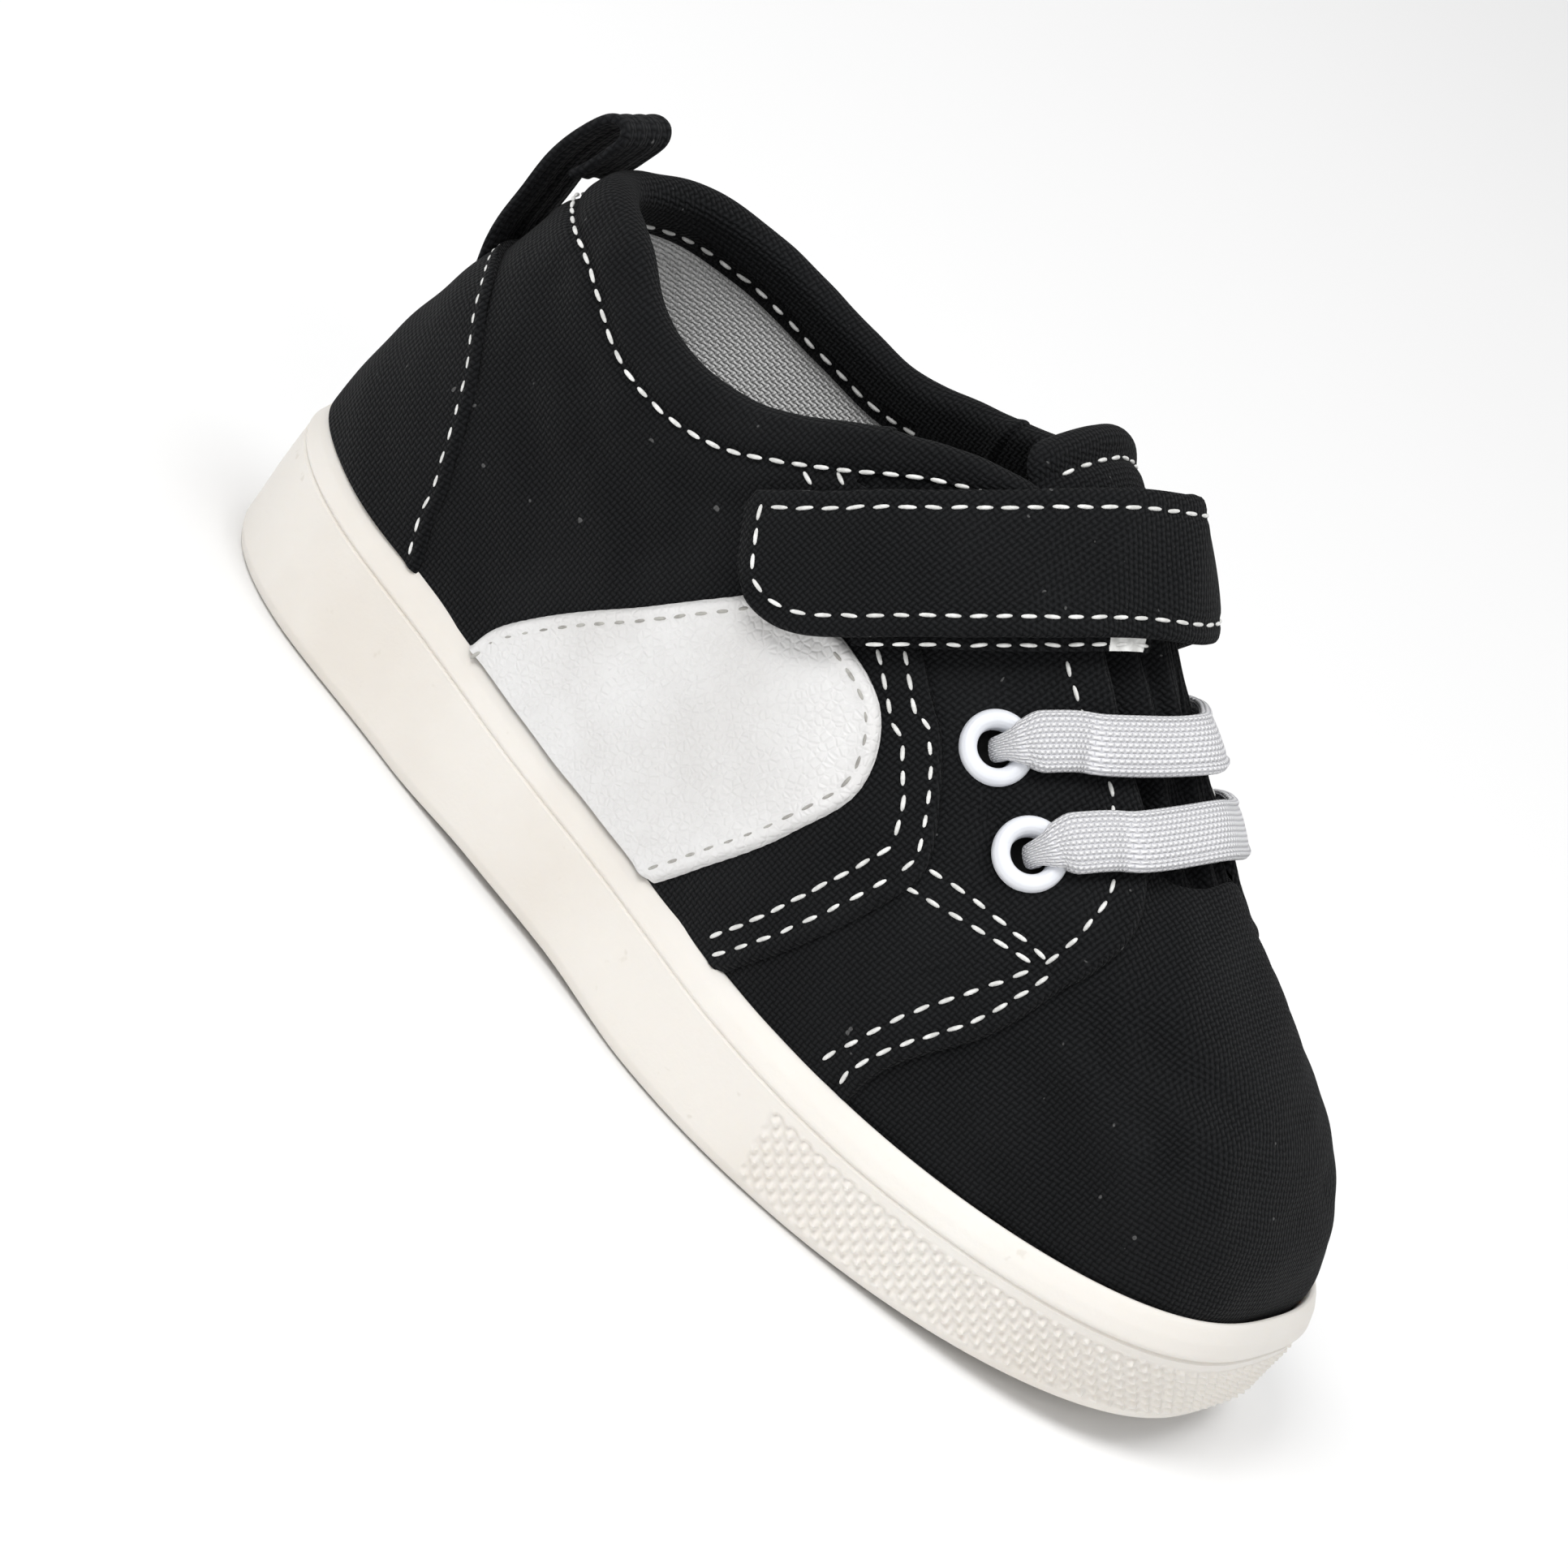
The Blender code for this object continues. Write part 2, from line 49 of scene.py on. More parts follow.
# %% [markdown]
# ## The last
# A shoe is built on a last, a foot-shaped block. Two functions stand for it
# here: one gives the plan of the sole, the other the outer face of the upper.
# A place on the upper is a station (0 at the heel, 1 at the toe, back to 2 at
# the heel, lateral side first) and how far it is up from the sole (0) to the
# top line (1). Everything is in millimetres until it becomes a mesh.

# %% Plan of the sole
SOLE_LENGTH, HEEL_WIDTH, WAIST_WIDTH, BALL_WIDTH = 156.0, 48.0, 58.5, 70.0
TOE_SWING, TOE_SPRING, ARCH_RISE = 11.5, 4.2, 0.8
WALL_HEEL, WALL_DROP, FLOOR = 19.5, 4.7, 8.5
UPPER_INSET = 2.95
WALL, COLLAR_WALL = 1.9, 3.6


def unit(v):
    """The same vectors at length 1."""
    return v / np.maximum(np.linalg.norm(v, axis=-1, keepdims=True), 1e-9)


def run_of(points):
    """How far along a line each of its points is."""
    return np.concatenate([[0], np.cumsum(np.linalg.norm(np.diff(points, axis=0), axis=1))])


def read_at(k, run, rows):
    """The columns of rows, read at the distances k."""
    return np.stack([np.interp(k, run, rows[:, i]) for i in range(rows.shape[1])], -1)


def smooth(a, b, x):
    """0 before a, 1 after b and a smooth step between."""
    t = np.clip((np.asarray(x, float) - a) / (b - a), 0.0, 1.0)
    return t * t * (3.0 - 2.0 * t)


def outline(station, inset):
    """x, y and the share of the length (0 heel, 1 toe) of the sole's plan."""
    t = np.asarray(station, float) * math.pi
    length = SOLE_LENGTH - 2.0 * inset
    s = (1.0 - np.cos(t)) / 2.0
    side = np.where(np.sin(t) >= 0.0, -1.0, 1.0)
    hw, bw, ww = HEEL_WIDTH / 2 - inset, BALL_WIDTH / 2 - inset, WAIST_WIDTH / 2 - inset
    w = hw + (ww - hw) * smooth(0.15, 0.42, s) + (bw - ww) * smooth(0.38, 0.7, s)
    rh = np.clip((0.2 - s) / 0.2, 0.0, 1.0)
    rt = np.clip((s - 0.68) / 0.32, 0.0, 1.0)
    w = w * (1.0 - rh**2.15) ** (1 / 2.15) * (1.0 - rt**2.7) ** (1 / 2.7)
    hollow = 4.0 * np.exp(-(((s - 0.42) / 0.13) ** 2)) * (side > 0.0)
    return (s - 0.5) * length, TOE_SWING * smooth(0.55, 1.0, s) + side * (w - hollow), s


MID_Y = sum(f(outline(np.arange(84) / 42.0, 0.0)[1]) for f in (np.max, np.min)) / 2.0


def spring(s):
    return TOE_SPRING * np.clip((s - 0.72) / 0.28, 0.0, 1.0) ** 1.8


def arch(s):
    return ARCH_RISE * smooth(0.27, 0.37, s) * (1.0 - smooth(0.46, 0.57, s))


def rim(s):
    return WALL_HEEL - WALL_DROP * s + spring(s)


print("the sole's middle is", round(MID_Y, 2), "mm to the medial side of the heel's")

# %% Outer face of the upper
# station, top line x y z, handle at the top line, handle at the sole, its lean
TOP_LINE = np.array([
    (0, -67.8, 0, 60.6, -3, 0, -14, 14, 0.5),
    (0.12, -63.5, -10.5, 62, -2, -2, -14, 14, 0.3),
    (0.22, -55, -17.2, 61.8, -1, -3, -14, 14, 0),
    (0.32, -43, -20.3, 57.6, 0, -3, -13, 14, 0),
    (0.4, -30, -20.6, 59.6, 0, -3, -14, 15, 0),
    (0.465, -17, -18.6, 68, 0, -4.5, -17, 17, 0),
    (0.515, -7, -14.2, 73, 0.5, -8, -17, 18, 0),
    (0.56, 2, -9, 73, 0.5, -10, -15.5, 18.5, 0),
    (0.6, 11, -5.8, 66.6, -0.5, -11, -12.5, 18.5, 0),
    (0.66, 20, -5, 60.8, -1, -11.5, -10, 18, 0),
    (0.73, 29, -5, 55.4, 1.5, -12, -8, 17.5, 0),
    (0.8, 36, -3.8, 52, 8, -12.5, -8, 17, 0),
    (0.88, 39.8, -0.4, 52.8, 15, -11, -8.4, 16, 0),
    (1, 40.8, 5.2, 54, 19.5, 2, -9.6, 15, 0.3),
    (1.12, 39.8, 10.4, 52.4, 13.5, 9, -9.8, 13.5, 0),
    (1.2, 36, 13.6, 51.6, 8, 10.5, -10, 14.5, 0),
    (1.27, 29, 14.8, 55.4, 1.5, 12, -8, 17.5, 0),
    (1.34, 20, 14.4, 60.8, -1, 11.5, -10, 18, 0),
    (1.4, 11, 14.8, 66.6, -0.5, 11, -12.5, 18.5, 0),
    (1.44, 2, 16, 73, 0.5, 10, -15.5, 18.5, 0),
    (1.485, -7, 18.4, 72.6, 0.5, 8, -17, 18, 0),
    (1.535, -18, 20.6, 67, 0, 4.5, -17, 17, 0),
    (1.6, -31, 21.4, 61.6, 0, 3, -14, 15, 0),
    (1.68, -43, 20.6, 61, 0, 3, -13, 14, 0),
    (1.78, -54, 18, 61.9, -1, 3, -14, 14, 0),
    (1.88, -63.5, 11, 62, -2, 2, -14, 14, 0.3),
])


def round_curve(keys, at):
    """A smooth closed curve through the rows of keys, read at each station."""
    k, vals, n = keys[:, 0], keys[:, 1:], len(keys)
    kk = np.concatenate([k[-2:] - 2.0, k, k[:3] + 2.0])
    vv = np.concatenate([vals[-2:], vals, vals[:3]])
    u = np.mod(np.asarray(at, float).ravel(), 2.0)
    j = np.clip(np.searchsorted(kk, u, side="right") - 1, 1, n + 2)
    h = (kk[j + 1] - kk[j])[:, None]
    f = (u[:, None] - kk[j][:, None]) / h
    m0 = (vv[j + 1] - vv[j - 1]) / (kk[j + 1] - kk[j - 1])[:, None] * h
    m1 = (vv[j + 2] - vv[j]) / (kk[j + 2] - kk[j])[:, None] * h
    return ((2 * f**3 - 3 * f**2 + 1) * vv[j] + (f**3 - 2 * f**2 + f) * m0
            + (-2 * f**3 + 3 * f**2) * vv[j + 1] + (f**3 - f**2) * m1)


def on_last(station, up):
    """Points on the outer face. up below 0 runs down inside the cup sole to -1."""
    station, up = np.broadcast_arrays(np.asarray(station, float), np.asarray(up, float))
    st, f = station.ravel(), up.ravel()[:, None]
    key = round_curve(TOP_LINE, st)
    x1, y1, s = outline(st, UPPER_INSET)
    x0, y0, _ = outline(st, UPPER_INSET + 0.8)
    xa, ya, _ = outline(st, 1.0)
    lip = np.stack([x1, y1, rim(s)], 1)
    foot = np.stack([x0, y0, FLOOR + spring(s) + 0.4], 1)
    out = unit(np.stack([xa - x1, ya - y1, 0 * xa], 1))
    p1 = lip + np.array([0, 0, 1.0]) * key[:, 6:7] + out * key[:, 7:8]
    p3 = key[:, 0:3]
    p2 = p3 + key[:, 3:6]
    g = np.clip(f, 0.0, None)
    face = (1 - g) ** 3 * lip + 3 * g * (1 - g) ** 2 * p1 + 3 * g * g * (1 - g) * p2 + g**3 * p3
    down = lip + (foot - lip) * np.clip(-f, 0.0, 1.0)
    p = np.where(f < 0.0, down, face)
    p[:, 1] -= MID_Y
    return p.reshape(station.shape + (3,))


def facing(station, up):
    """Outward normal and the upward tangent of the outer face."""
    station, up = np.broadcast_arrays(np.asarray(station, float), np.asarray(up, float))
    e = 0.004
    mid = np.clip(up, e, 1.0 - e)
    du = on_last(station + e, mid) - on_last(station - e, mid)
    dv = on_last(station, mid + e) - on_last(station, mid - e)
    return unit(np.cross(du, dv)), unit(dv)


heel_top, throat_top = (np.round(on_last(st, 1.0), 1) for st in (0.0, 1.0))
print("top line at the heel:", heel_top, " at the throat:", throat_top)

# %% [markdown]
# ## The camera, the floor and the light
# The camera comes first, because it decides what has to be finished best. It
# looks at the lateral side from a little ahead and above, and is rolled, so
# that the toe points down to the right. A long lens keeps the shoe from
# bulging. The floor is one big pale sheet, so no horizon shows.

# %% Camera
AZIMUTH, ELEVATION, ROLL = 18.5, 21.9, 40.1  # degrees
DISTANCE, AIM_HEIGHT, AIM_SHIFT = 0.8965, 0.03, 0.0072  # metres
LENS, SENSOR = 181.0, 36.0  # mm
a, e, r = (math.radians(v) for v in (AZIMUTH, ELEVATION, ROLL))
back = Vector((math.sin(a) * math.cos(e), -math.cos(a) * math.cos(e), math.sin(e)))
level = Vector((math.cos(a), math.sin(a), 0.0))
rise = back.cross(level)
cam_x = level * math.cos(r) + rise * math.sin(r)
cam_y = rise * math.cos(r) - level * math.sin(r)
aim = Vector((0.0, -MID_Y * MM, AIM_HEIGHT)) - cam_x * AIM_SHIFT
lens = bpy.data.cameras.new("camera")
lens.lens, lens.sensor_width = LENS, SENSOR
lens.clip_start, lens.clip_end = 0.05, 20.0
camera = bpy.data.objects.new("camera", lens)
bpy.context.scene.collection.objects.link(camera)
camera.matrix_world = Matrix((
    (cam_x.x, cam_y.x, back.x, aim.x + back.x * DISTANCE),
    (cam_x.y, cam_y.y, back.y, aim.y + back.y * DISTANCE),
    (cam_x.z, cam_y.z, back.z, aim.z + back.z * DISTANCE),
    (0.0, 0.0, 0.0, 1.0),
))
bpy.context.scene.camera = camera
print("camera height over the floor, m:", round(camera.matrix_world.translation.z, 3))

# %% Helpers for making a mesh
PIECES = []


def deselect():
    if bpy.context.mode != "OBJECT":
        bpy.ops.object.mode_set(mode="OBJECT")
    bpy.ops.object.select_all(action="DESELECT")


def only(obj):
    deselect()
    obj.select_set(True)
    bpy.context.view_layer.objects.active = obj


def edit_all(obj, operator, **values):
    """Run one edit-mode operator on the whole mesh."""
    only(obj)
    bpy.ops.object.mode_set(mode="EDIT")
    bpy.ops.mesh.select_all(action="SELECT")
    operator(**values)
    bpy.ops.object.mode_set(mode="OBJECT")


def laid_grid(name, across, along, where, closed=False):
    """A grid primitive laid on a surface: where(u, v) gives points in mm.

    u and v run 0 to 1. Its UV map is in millimetres along the surface.
    """
    deselect()
    bpy.ops.mesh.primitive_grid_add(x_subdivisions=across, y_subdivisions=along, size=1.0)
    obj = bpy.context.object
    obj.name = obj.data.name = name
    mesh = obj.data
    co = np.zeros(len(mesh.vertices) * 3)
    mesh.vertices.foreach_get("co", co)
    uv = co.reshape(-1, 3)[:, :2] + 0.5
    us, vs = np.unique(uv[:, 0].round(6)), np.unique(uv[:, 1].round(6))
    p = where(uv[:, 0], uv[:, 1])
    mesh.vertices.foreach_set("co", (p * MM).ravel())
    # millimetre UVs from the lengths of the middle column and the middle row
    mid_u = where(us, np.full(len(us), 0.5))
    mid_v = where(np.full(len(vs), 0.5), vs)
    flat = np.stack([np.interp(uv[:, 0], us, run_of(mid_u)), np.interp(uv[:, 1], vs, run_of(mid_v))], 1)
    loops = np.zeros(len(mesh.loops), int)
    mesh.loops.foreach_get("vertex_index", loops)
    mesh.uv_layers.active.data.foreach_set("uv", flat[loops].ravel())
    mesh.update()
    if closed:
        edit_all(obj, bpy.ops.mesh.remove_doubles, threshold=0.00001)
    return obj


def face_out(obj, inside=False):
    edit_all(obj, bpy.ops.mesh.normals_make_consistent, inside=inside)


def face_away(obj):
    """Turn an open sheet so that it faces away from the last's axis."""
    mesh = obj.data
    face = mesh.polygons[len(mesh.polygons) // 2]
    axis = Vector((face.center.x, -MID_Y * MM + 0.002, 0.03))
    if face.normal.dot(face.center - axis) < 0:
        edit_all(obj, bpy.ops.mesh.flip_normals)


def finish_piece(obj, mat, slot, nodes=(), smooth_deg=40.0):
    """Smooth a piece, give it its finish, hang it under the root and hide the CAD parts it stands for."""
    only(obj)
    bpy.ops.object.shade_smooth_by_angle(angle=math.radians(smooth_deg))
    obj.data.materials.clear()
    obj.data.materials.append(mat)
    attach(obj, "root")
    if nodes:
        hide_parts(*nodes)
    PIECES.append(obj)
    print(f"{obj.name}: {sum(len(p.vertices) - 2 for p in obj.data.polygons)} triangles")
    return obj


def cover(name, across, along, where, mat, slot, nodes, smooth_deg=60.0, closed=True, turn=face_out):
    """Lay a grid, turn its faces out and finish it."""
    obj = laid_grid(name, across, along, where, closed)
    turn(obj)
    return finish_piece(obj, mat, slot, nodes, smooth_deg)


# %% [markdown]
# ## Finishes
# Canvas, the knitted lining and the insole's cloth are all threads, so one node group makes a plain weave and is
# used with other sizes. It works from object coordinates, looking along each axis in turn and taking the view
# that the surface faces most, so the threads keep their size all over the last.

# %% Node helpers
def new_group(name, inputs, outputs):
    g = bpy.data.node_groups.new(name, "ShaderNodeTree")
    kind = "NodeSocketFloat"
    for n, d in inputs.items():
        g.interface.new_socket(name=n, in_out="INPUT", socket_type=kind).default_value = d
    for n in outputs:
        g.interface.new_socket(name=n, in_out="OUTPUT", socket_type=kind)
    return g, g.nodes.new("NodeGroupInput"), g.nodes.new("NodeGroupOutput")


def maths(tree, op, *values):
    n = tree.nodes.new("ShaderNodeMath")
    n.operation = op
    for i, v in enumerate(values):
        if isinstance(v, (int, float)):
            n.inputs[i].default_value = v
        else:
            tree.links.new(v, n.inputs[i])
    return n.outputs[0]


# %% The weave group
weave, g_in, g_out = new_group("weave", {"Pitch mm": 0.7, "Slub": 0.25}, ("Height", "Thread"))
coords = weave.nodes.new("ShaderNodeTexCoord")
wobble, slub = (weave.nodes.new("ShaderNodeTexNoise") for _ in range(2))
for node, scale, detail in ((wobble, 260.0, 2.0), (slub, 900.0, 3.0)):
    node.inputs["Scale"].default_value = scale
    node.inputs["Detail"].default_value = detail
    weave.links.new(coords.outputs["Object"], node.inputs["Vector"])
place, facing_n = (weave.nodes.new("ShaderNodeSeparateXYZ") for _ in range(2))
weave.links.new(coords.outputs["Object"], place.inputs[0])
weave.links.new(coords.outputs["Normal"], facing_n.inputs[0])


def calc(*values):
    return maths(weave, *values)


turn = calc("DIVIDE", math.pi / MM, g_in.outputs["Pitch mm"])
jitter = calc("MULTIPLY", calc("SUBTRACT", wobble.outputs[0], 0.5), 1.6)
wave, lumps, weights = {}, {}, {}
for axis in "XYZ":
    wave[axis] = calc("SINE", calc("ADD", calc("MULTIPLY", place.outputs[axis], turn), jitter))
for axis, (p, q) in {"X": "YZ", "Y": "XZ", "Z": "XY"}.items():
    over = calc("MULTIPLY", wave[p], wave[q])
    up_thread = calc("MULTIPLY", calc("ABSOLUTE", wave[p]), calc("MULTIPLY_ADD", over, 0.5, 0.5))
    down_thread = calc("MULTIPLY", calc("ABSOLUTE", wave[q]), calc("MULTIPLY_ADD", over, -0.5, 0.5))
    weights[axis] = calc("POWER", calc("ABSOLUTE", facing_n.outputs[axis]), 5.0)
    lumps[axis] = calc("MULTIPLY", calc("MAXIMUM", up_thread, down_thread), weights[axis])
total = calc("ADD", calc("ADD", weights["X"], weights["Y"]), weights["Z"])
mix = calc("ADD", calc("ADD", lumps["X"], lumps["Y"]), lumps["Z"])
height = calc("DIVIDE", mix, total)
rough_height = calc("ADD", height, calc("MULTIPLY", slub.outputs[0], g_in.outputs["Slub"]))
weave.links.new(rough_height, g_out.inputs["Height"])
weave.links.new(height, g_out.inputs["Thread"])
print("weave group:", len(weave.nodes), "nodes")


# %% Material helpers
def new_material(name, rough, sheen=0.0, specular=0.5):
    m = bpy.data.materials.new(name)
    m.use_nodes = True
    t = m.node_tree
    b = t.nodes["Principled BSDF"]
    b.inputs["Roughness"].default_value = rough
    b.inputs["Sheen Weight"].default_value = sheen
    b.inputs["Sheen Roughness"].default_value = 0.45
    b.inputs["Specular IOR Level"].default_value = specular
    return m, t, b


def colour_ramp(t, fac, *stops):
    n = t.nodes.new("ShaderNodeValToRGB")
    n.color_ramp.interpolation = "EASE"
    while len(n.color_ramp.elements) < len(stops):
        n.color_ramp.elements.new(0.5)
    for el, (pos, col) in zip(n.color_ramp.elements, stops):
        el.position, el.color = pos, (*col, 1.0)
    t.links.new(fac, n.inputs[0])
    return n.outputs[0]


def noise(t, scale, detail=3.0):
    c = t.nodes.new("ShaderNodeTexCoord")
    n = t.nodes.new("ShaderNodeTexNoise")
    n.inputs["Scale"].default_value = scale
    n.inputs["Detail"].default_value = detail
    t.links.new(c.outputs["Object"], n.inputs["Vector"])
    return n.outputs[0]


def bump(t, b, height, distance, strength=1.0):
    n = t.nodes.new("ShaderNodeBump")
    n.inputs["Strength"].default_value = strength
    n.inputs["Distance"].default_value = distance
    t.links.new(height, n.inputs["Height"])
    t.links.new(n.outputs[0], b.inputs["Normal"])


def paint(t, b, fac, *stops):
    """Colour the surface by a ramp."""
    t.links.new(colour_ramp(t, fac, *stops), b.inputs["Base Color"])


def mottled(name, surface, scale, dark, light, grain=None, detail=2.0):
    """A plain finish of two near colours. surface is roughness, sheen, specular."""
    m, t, b = new_material(name, *surface)
    paint(t, b, noise(t, scale, detail), (0.3, dark), (0.7, light))
    if grain:
        grain_scale, depth, strength = grain
        bump(t, b, noise(t, grain_scale, 2.0), depth, strength)
    return m


def use_weave(t, pitch, slub=0.25):
    n = t.nodes.new("ShaderNodeGroup")
    n.node_tree = weave
    n.inputs["Pitch mm"].default_value = pitch
    n.inputs["Slub"].default_value = slub
    return n.outputs["Height"], n.outputs["Thread"]


def mixed(t, fac, a, b):
    n = t.nodes.new("ShaderNodeMix")
    n.data_type = "RGBA"
    t.links.new(fac, n.inputs["Factor"])
    for v, k in ((a, 6), (b, 7)):
        if isinstance(v, tuple):
            n.inputs[k].default_value = (*v, 1.0)
        else:
            t.links.new(v, n.inputs[k])
    return n.outputs[2]


# %% Black canvas
DUSTY = 0.1  # how much the canvas has worn grey


def cloth(name, dark, light, pitch, depth):
    m, t, b = new_material(name, 0.92, 0.025, 0.14)
    h, thread = use_weave(t, pitch)
    tone = colour_ramp(t, thread, (0.15, dark), (0.85, light))
    patch = noise(t, 60.0, 4.0)
    worn = colour_ramp(t, patch, (0.35, (0.0,) * 3), (0.75, (DUSTY,) * 3))
    grey = tuple(c * 2.0 + 0.008 for c in light)
    lint = colour_ramp(t, noise(t, 620.0, 1.0), (0.775, (0.0,) * 3), (0.8, (1.0,) * 3))
    t.links.new(mixed(t, lint, mixed(t, worn, tone, grey), (0.1,) * 3), b.inputs["Base Color"])
    bump(t, b, h, depth)
    return m


BLACK = (0.0014, 0.0017, 0.0021), (0.0118, 0.0124, 0.0135)
# the next colours are the canvas made a little darker: painted shade for the tongue, the padded collar and the
# hook pad under the strap
SHADED_BLACK = (0.0014, 0.0016, 0.002), (0.0108, 0.0113, 0.0124)
WEB = (0.0028, 0.003, 0.0036), (0.012, 0.0125, 0.0138)
CANVAS_PITCH = 0.62
canvas = cloth("canvas_black", *BLACK, CANVAS_PITCH, 0.00034)
canvas_strap = cloth("canvas_strap", *BLACK, 0.6, 0.00034)
# the darker canvas carries painted shade; it goes on the tongue, the padded collar and the hook pad
canvas_shaded = cloth("canvas_painted_shade", *SHADED_BLACK, CANVAS_PITCH, 0.00032)
webbing = cloth("webbing_black", *WEB, 0.85, 0.0003)
print("canvas threads every", CANVAS_PITCH, "mm")

# %% Grey mesh lining
lining_mat, t, b = new_material("mesh_lining", 0.88, 0.1, 0.3)
h, thread = use_weave(t, 0.58, 0.1)
paint(t, b, thread, (0.05, (0.46,) * 3), (0.3, (0.88, 0.88, 0.875)), (0.9, (0.93, 0.93, 0.92)))
bump(t, b, h, 0.0004)

insole_mat, t, b = new_material("insole_cloth", 0.9, 0.1, 0.3)
h, thread = use_weave(t, 0.9)
paint(t, b, thread, (0.1, (0.2, 0.2, 0.205)), (0.9, (0.42,) * 3))
bump(t, b, h, 0.0003)

# %% Ivory rubber
# Moulded rubber is never one colour: its tone wanders at random between yellower and paler ivory, with darker
# specks and a fine grain from the mould.
rubber, t, b = new_material("rubber_ivory", 0.52, 0.0, 0.4)
b.inputs["Subsurface Weight"].default_value = 0.12
b.inputs["Subsurface Radius"].default_value = (1.0, 0.8, 0.55)
b.inputs["Subsurface Scale"].default_value = 0.0015
YELLOWED, IVORY, PALE = (0.77, 0.725, 0.665), (0.82, 0.785, 0.735), (0.845, 0.82, 0.775)
tone = colour_ramp(t, noise(t, 28.0, 4.0), (0.3, YELLOWED), (0.55, IVORY), (0.8, PALE))
speck = colour_ramp(t, noise(t, 480.0, 2.0), (0.7, (0.0,) * 3), (0.78, (0.35,) * 3))
t.links.new(mixed(t, speck, tone, (0.62, 0.57, 0.49)), b.inputs["Base Color"])
rough_v = maths(t, "MULTIPLY_ADD", noise(t, 90.0, 3.0), 0.18, 0.44)
t.links.new(rough_v, b.inputs["Roughness"])
bump(t, b, noise(t, 1500.0, 3.0), 0.00005, 0.8)

# %% White leather of the side panel
leather, t, b = new_material("leather_white", 0.46, 0.0, 0.45)
c = t.nodes.new("ShaderNodeTexCoord")
cells = t.nodes.new("ShaderNodeTexVoronoi")
cells.feature = "DISTANCE_TO_EDGE"
cells.inputs["Scale"].default_value = 1050.0
t.links.new(c.outputs["Object"], cells.inputs["Vector"])
pebble = colour_ramp(t, cells.outputs["Distance"], (0.0, (0.0,) * 3), (0.28, (1.0,) * 3))
paint(t, b, noise(t, 70.0, 4.0), (0.3, (0.7, 0.69, 0.68)), (0.7, (0.78, 0.775, 0.77)))
bump(t, b, pebble, 0.00008, 0.9)

# %% Elastic, thread and plastic
elastic, t, b = new_material("elastic_white", 0.85, 0.25, 0.3)
c = t.nodes.new("ShaderNodeUVMap")
xy = t.nodes.new("ShaderNodeSeparateXYZ")
t.links.new(c.outputs[0], xy.inputs[0])
RIB_LENGTH, RIB_WIDTH = 0.78, 0.62
along = maths(t, "MULTIPLY", xy.outputs["X"], math.pi / RIB_LENGTH)
across = maths(t, "SINE", maths(t, "MULTIPLY", xy.outputs["Y"], math.pi / RIB_WIDTH))
stagger = maths(t, "MULTIPLY", maths(t, "SIGN", across), math.pi / 4)
rib = maths(t, "ABSOLUTE", maths(t, "SINE", maths(t, "ADD", along, stagger)))
knots = maths(t, "MULTIPLY", rib, maths(t, "ABSOLUTE", across))
knit = maths(t, "ADD", knots, maths(t, "MULTIPLY", noise(t, 1400.0, 2.0), 0.25))
paint(t, b, knots, (0.03, (0.6, 0.6, 0.64)), (0.24, (0.89, 0.89, 0.915)), (0.9, (0.94, 0.94, 0.955)))
bump(t, b, knit, 0.0004)

thread_mat = mottled("thread_white", (0.7, 0.2, 0.3), 900.0,
                     (0.62, 0.62, 0.6), (0.86, 0.86, 0.84), (2600.0, 0.0001, 0.7))
thread_grey = mottled("thread_grey", (0.75, 0.1, 0.3), 900.0, (0.3, 0.29, 0.27), (0.46, 0.45, 0.42))
plastic = mottled("plastic_white", (0.34, 0.0, 0.5), 160.0,
                  (0.76, 0.78, 0.83), (0.83, 0.845, 0.885), (700.0, 0.00003, 0.6), 3.0)
# near-black for the eyelet holes: painted shade where the hole is dark
eyelet_shade_mat = mottled("eyelet_painted_shade", (1.0, 0.0, 0.1), 700.0, (0.002,) * 3, (0.005,) * 3)
print(len(bpy.data.materials), "materials")

# %% Floor and light
deselect()
bpy.ops.mesh.primitive_plane_add(size=6.0, location=(0, 0, 0))
floor = bpy.context.object
floor.name = "floor"
floor.data.materials.append(mottled("floor_pale", (0.9,), 3.0, (0.93,) * 3, (0.94,) * 3))


def soft_light(name, place, size, watts):
    data = bpy.data.lights.new(name, "AREA")
    data.shape, data.size, data.energy = "DISK", size, watts
    lamp = bpy.data.objects.new(name, data)
    bpy.context.scene.collection.objects.link(lamp)
    lamp.location = place
    lamp.rotation_euler = (Vector((0, 0, 0.03)) - Vector(place)).to_track_quat("-Z", "Y").to_euler()


soft_light("key", (-0.4, -0.9, 1.2), 0.75, 11.5)
soft_light("fill", (1.1, -0.9, 0.8), 1.2, 4.2)
soft_light("top", (0.25, 0.15, 1.4), 0.8, 7.5)
world = bpy.context.scene.world or bpy.data.worlds.new("studio")
world.use_nodes = True
WORLD_STRENGTH = 0.42
for socket, value in enumerate(((1.0, 1.0, 1.0, 1.0), WORLD_STRENGTH)):
    world.node_tree.nodes["Background"].inputs[socket].default_value = value
bpy.context.scene.world = world
bpy.context.scene.view_settings.view_transform = "Standard"
print("three soft lights and a pale floor")

# %% [markdown]
# ## The cup sole
# One strip is laid round the outline, from the tread, up the wall, over the
# lip and down to the inner floor. The wall is parted by a thin groove, and the
# forefoot below it has moulded diamonds, so the strip is finer there.

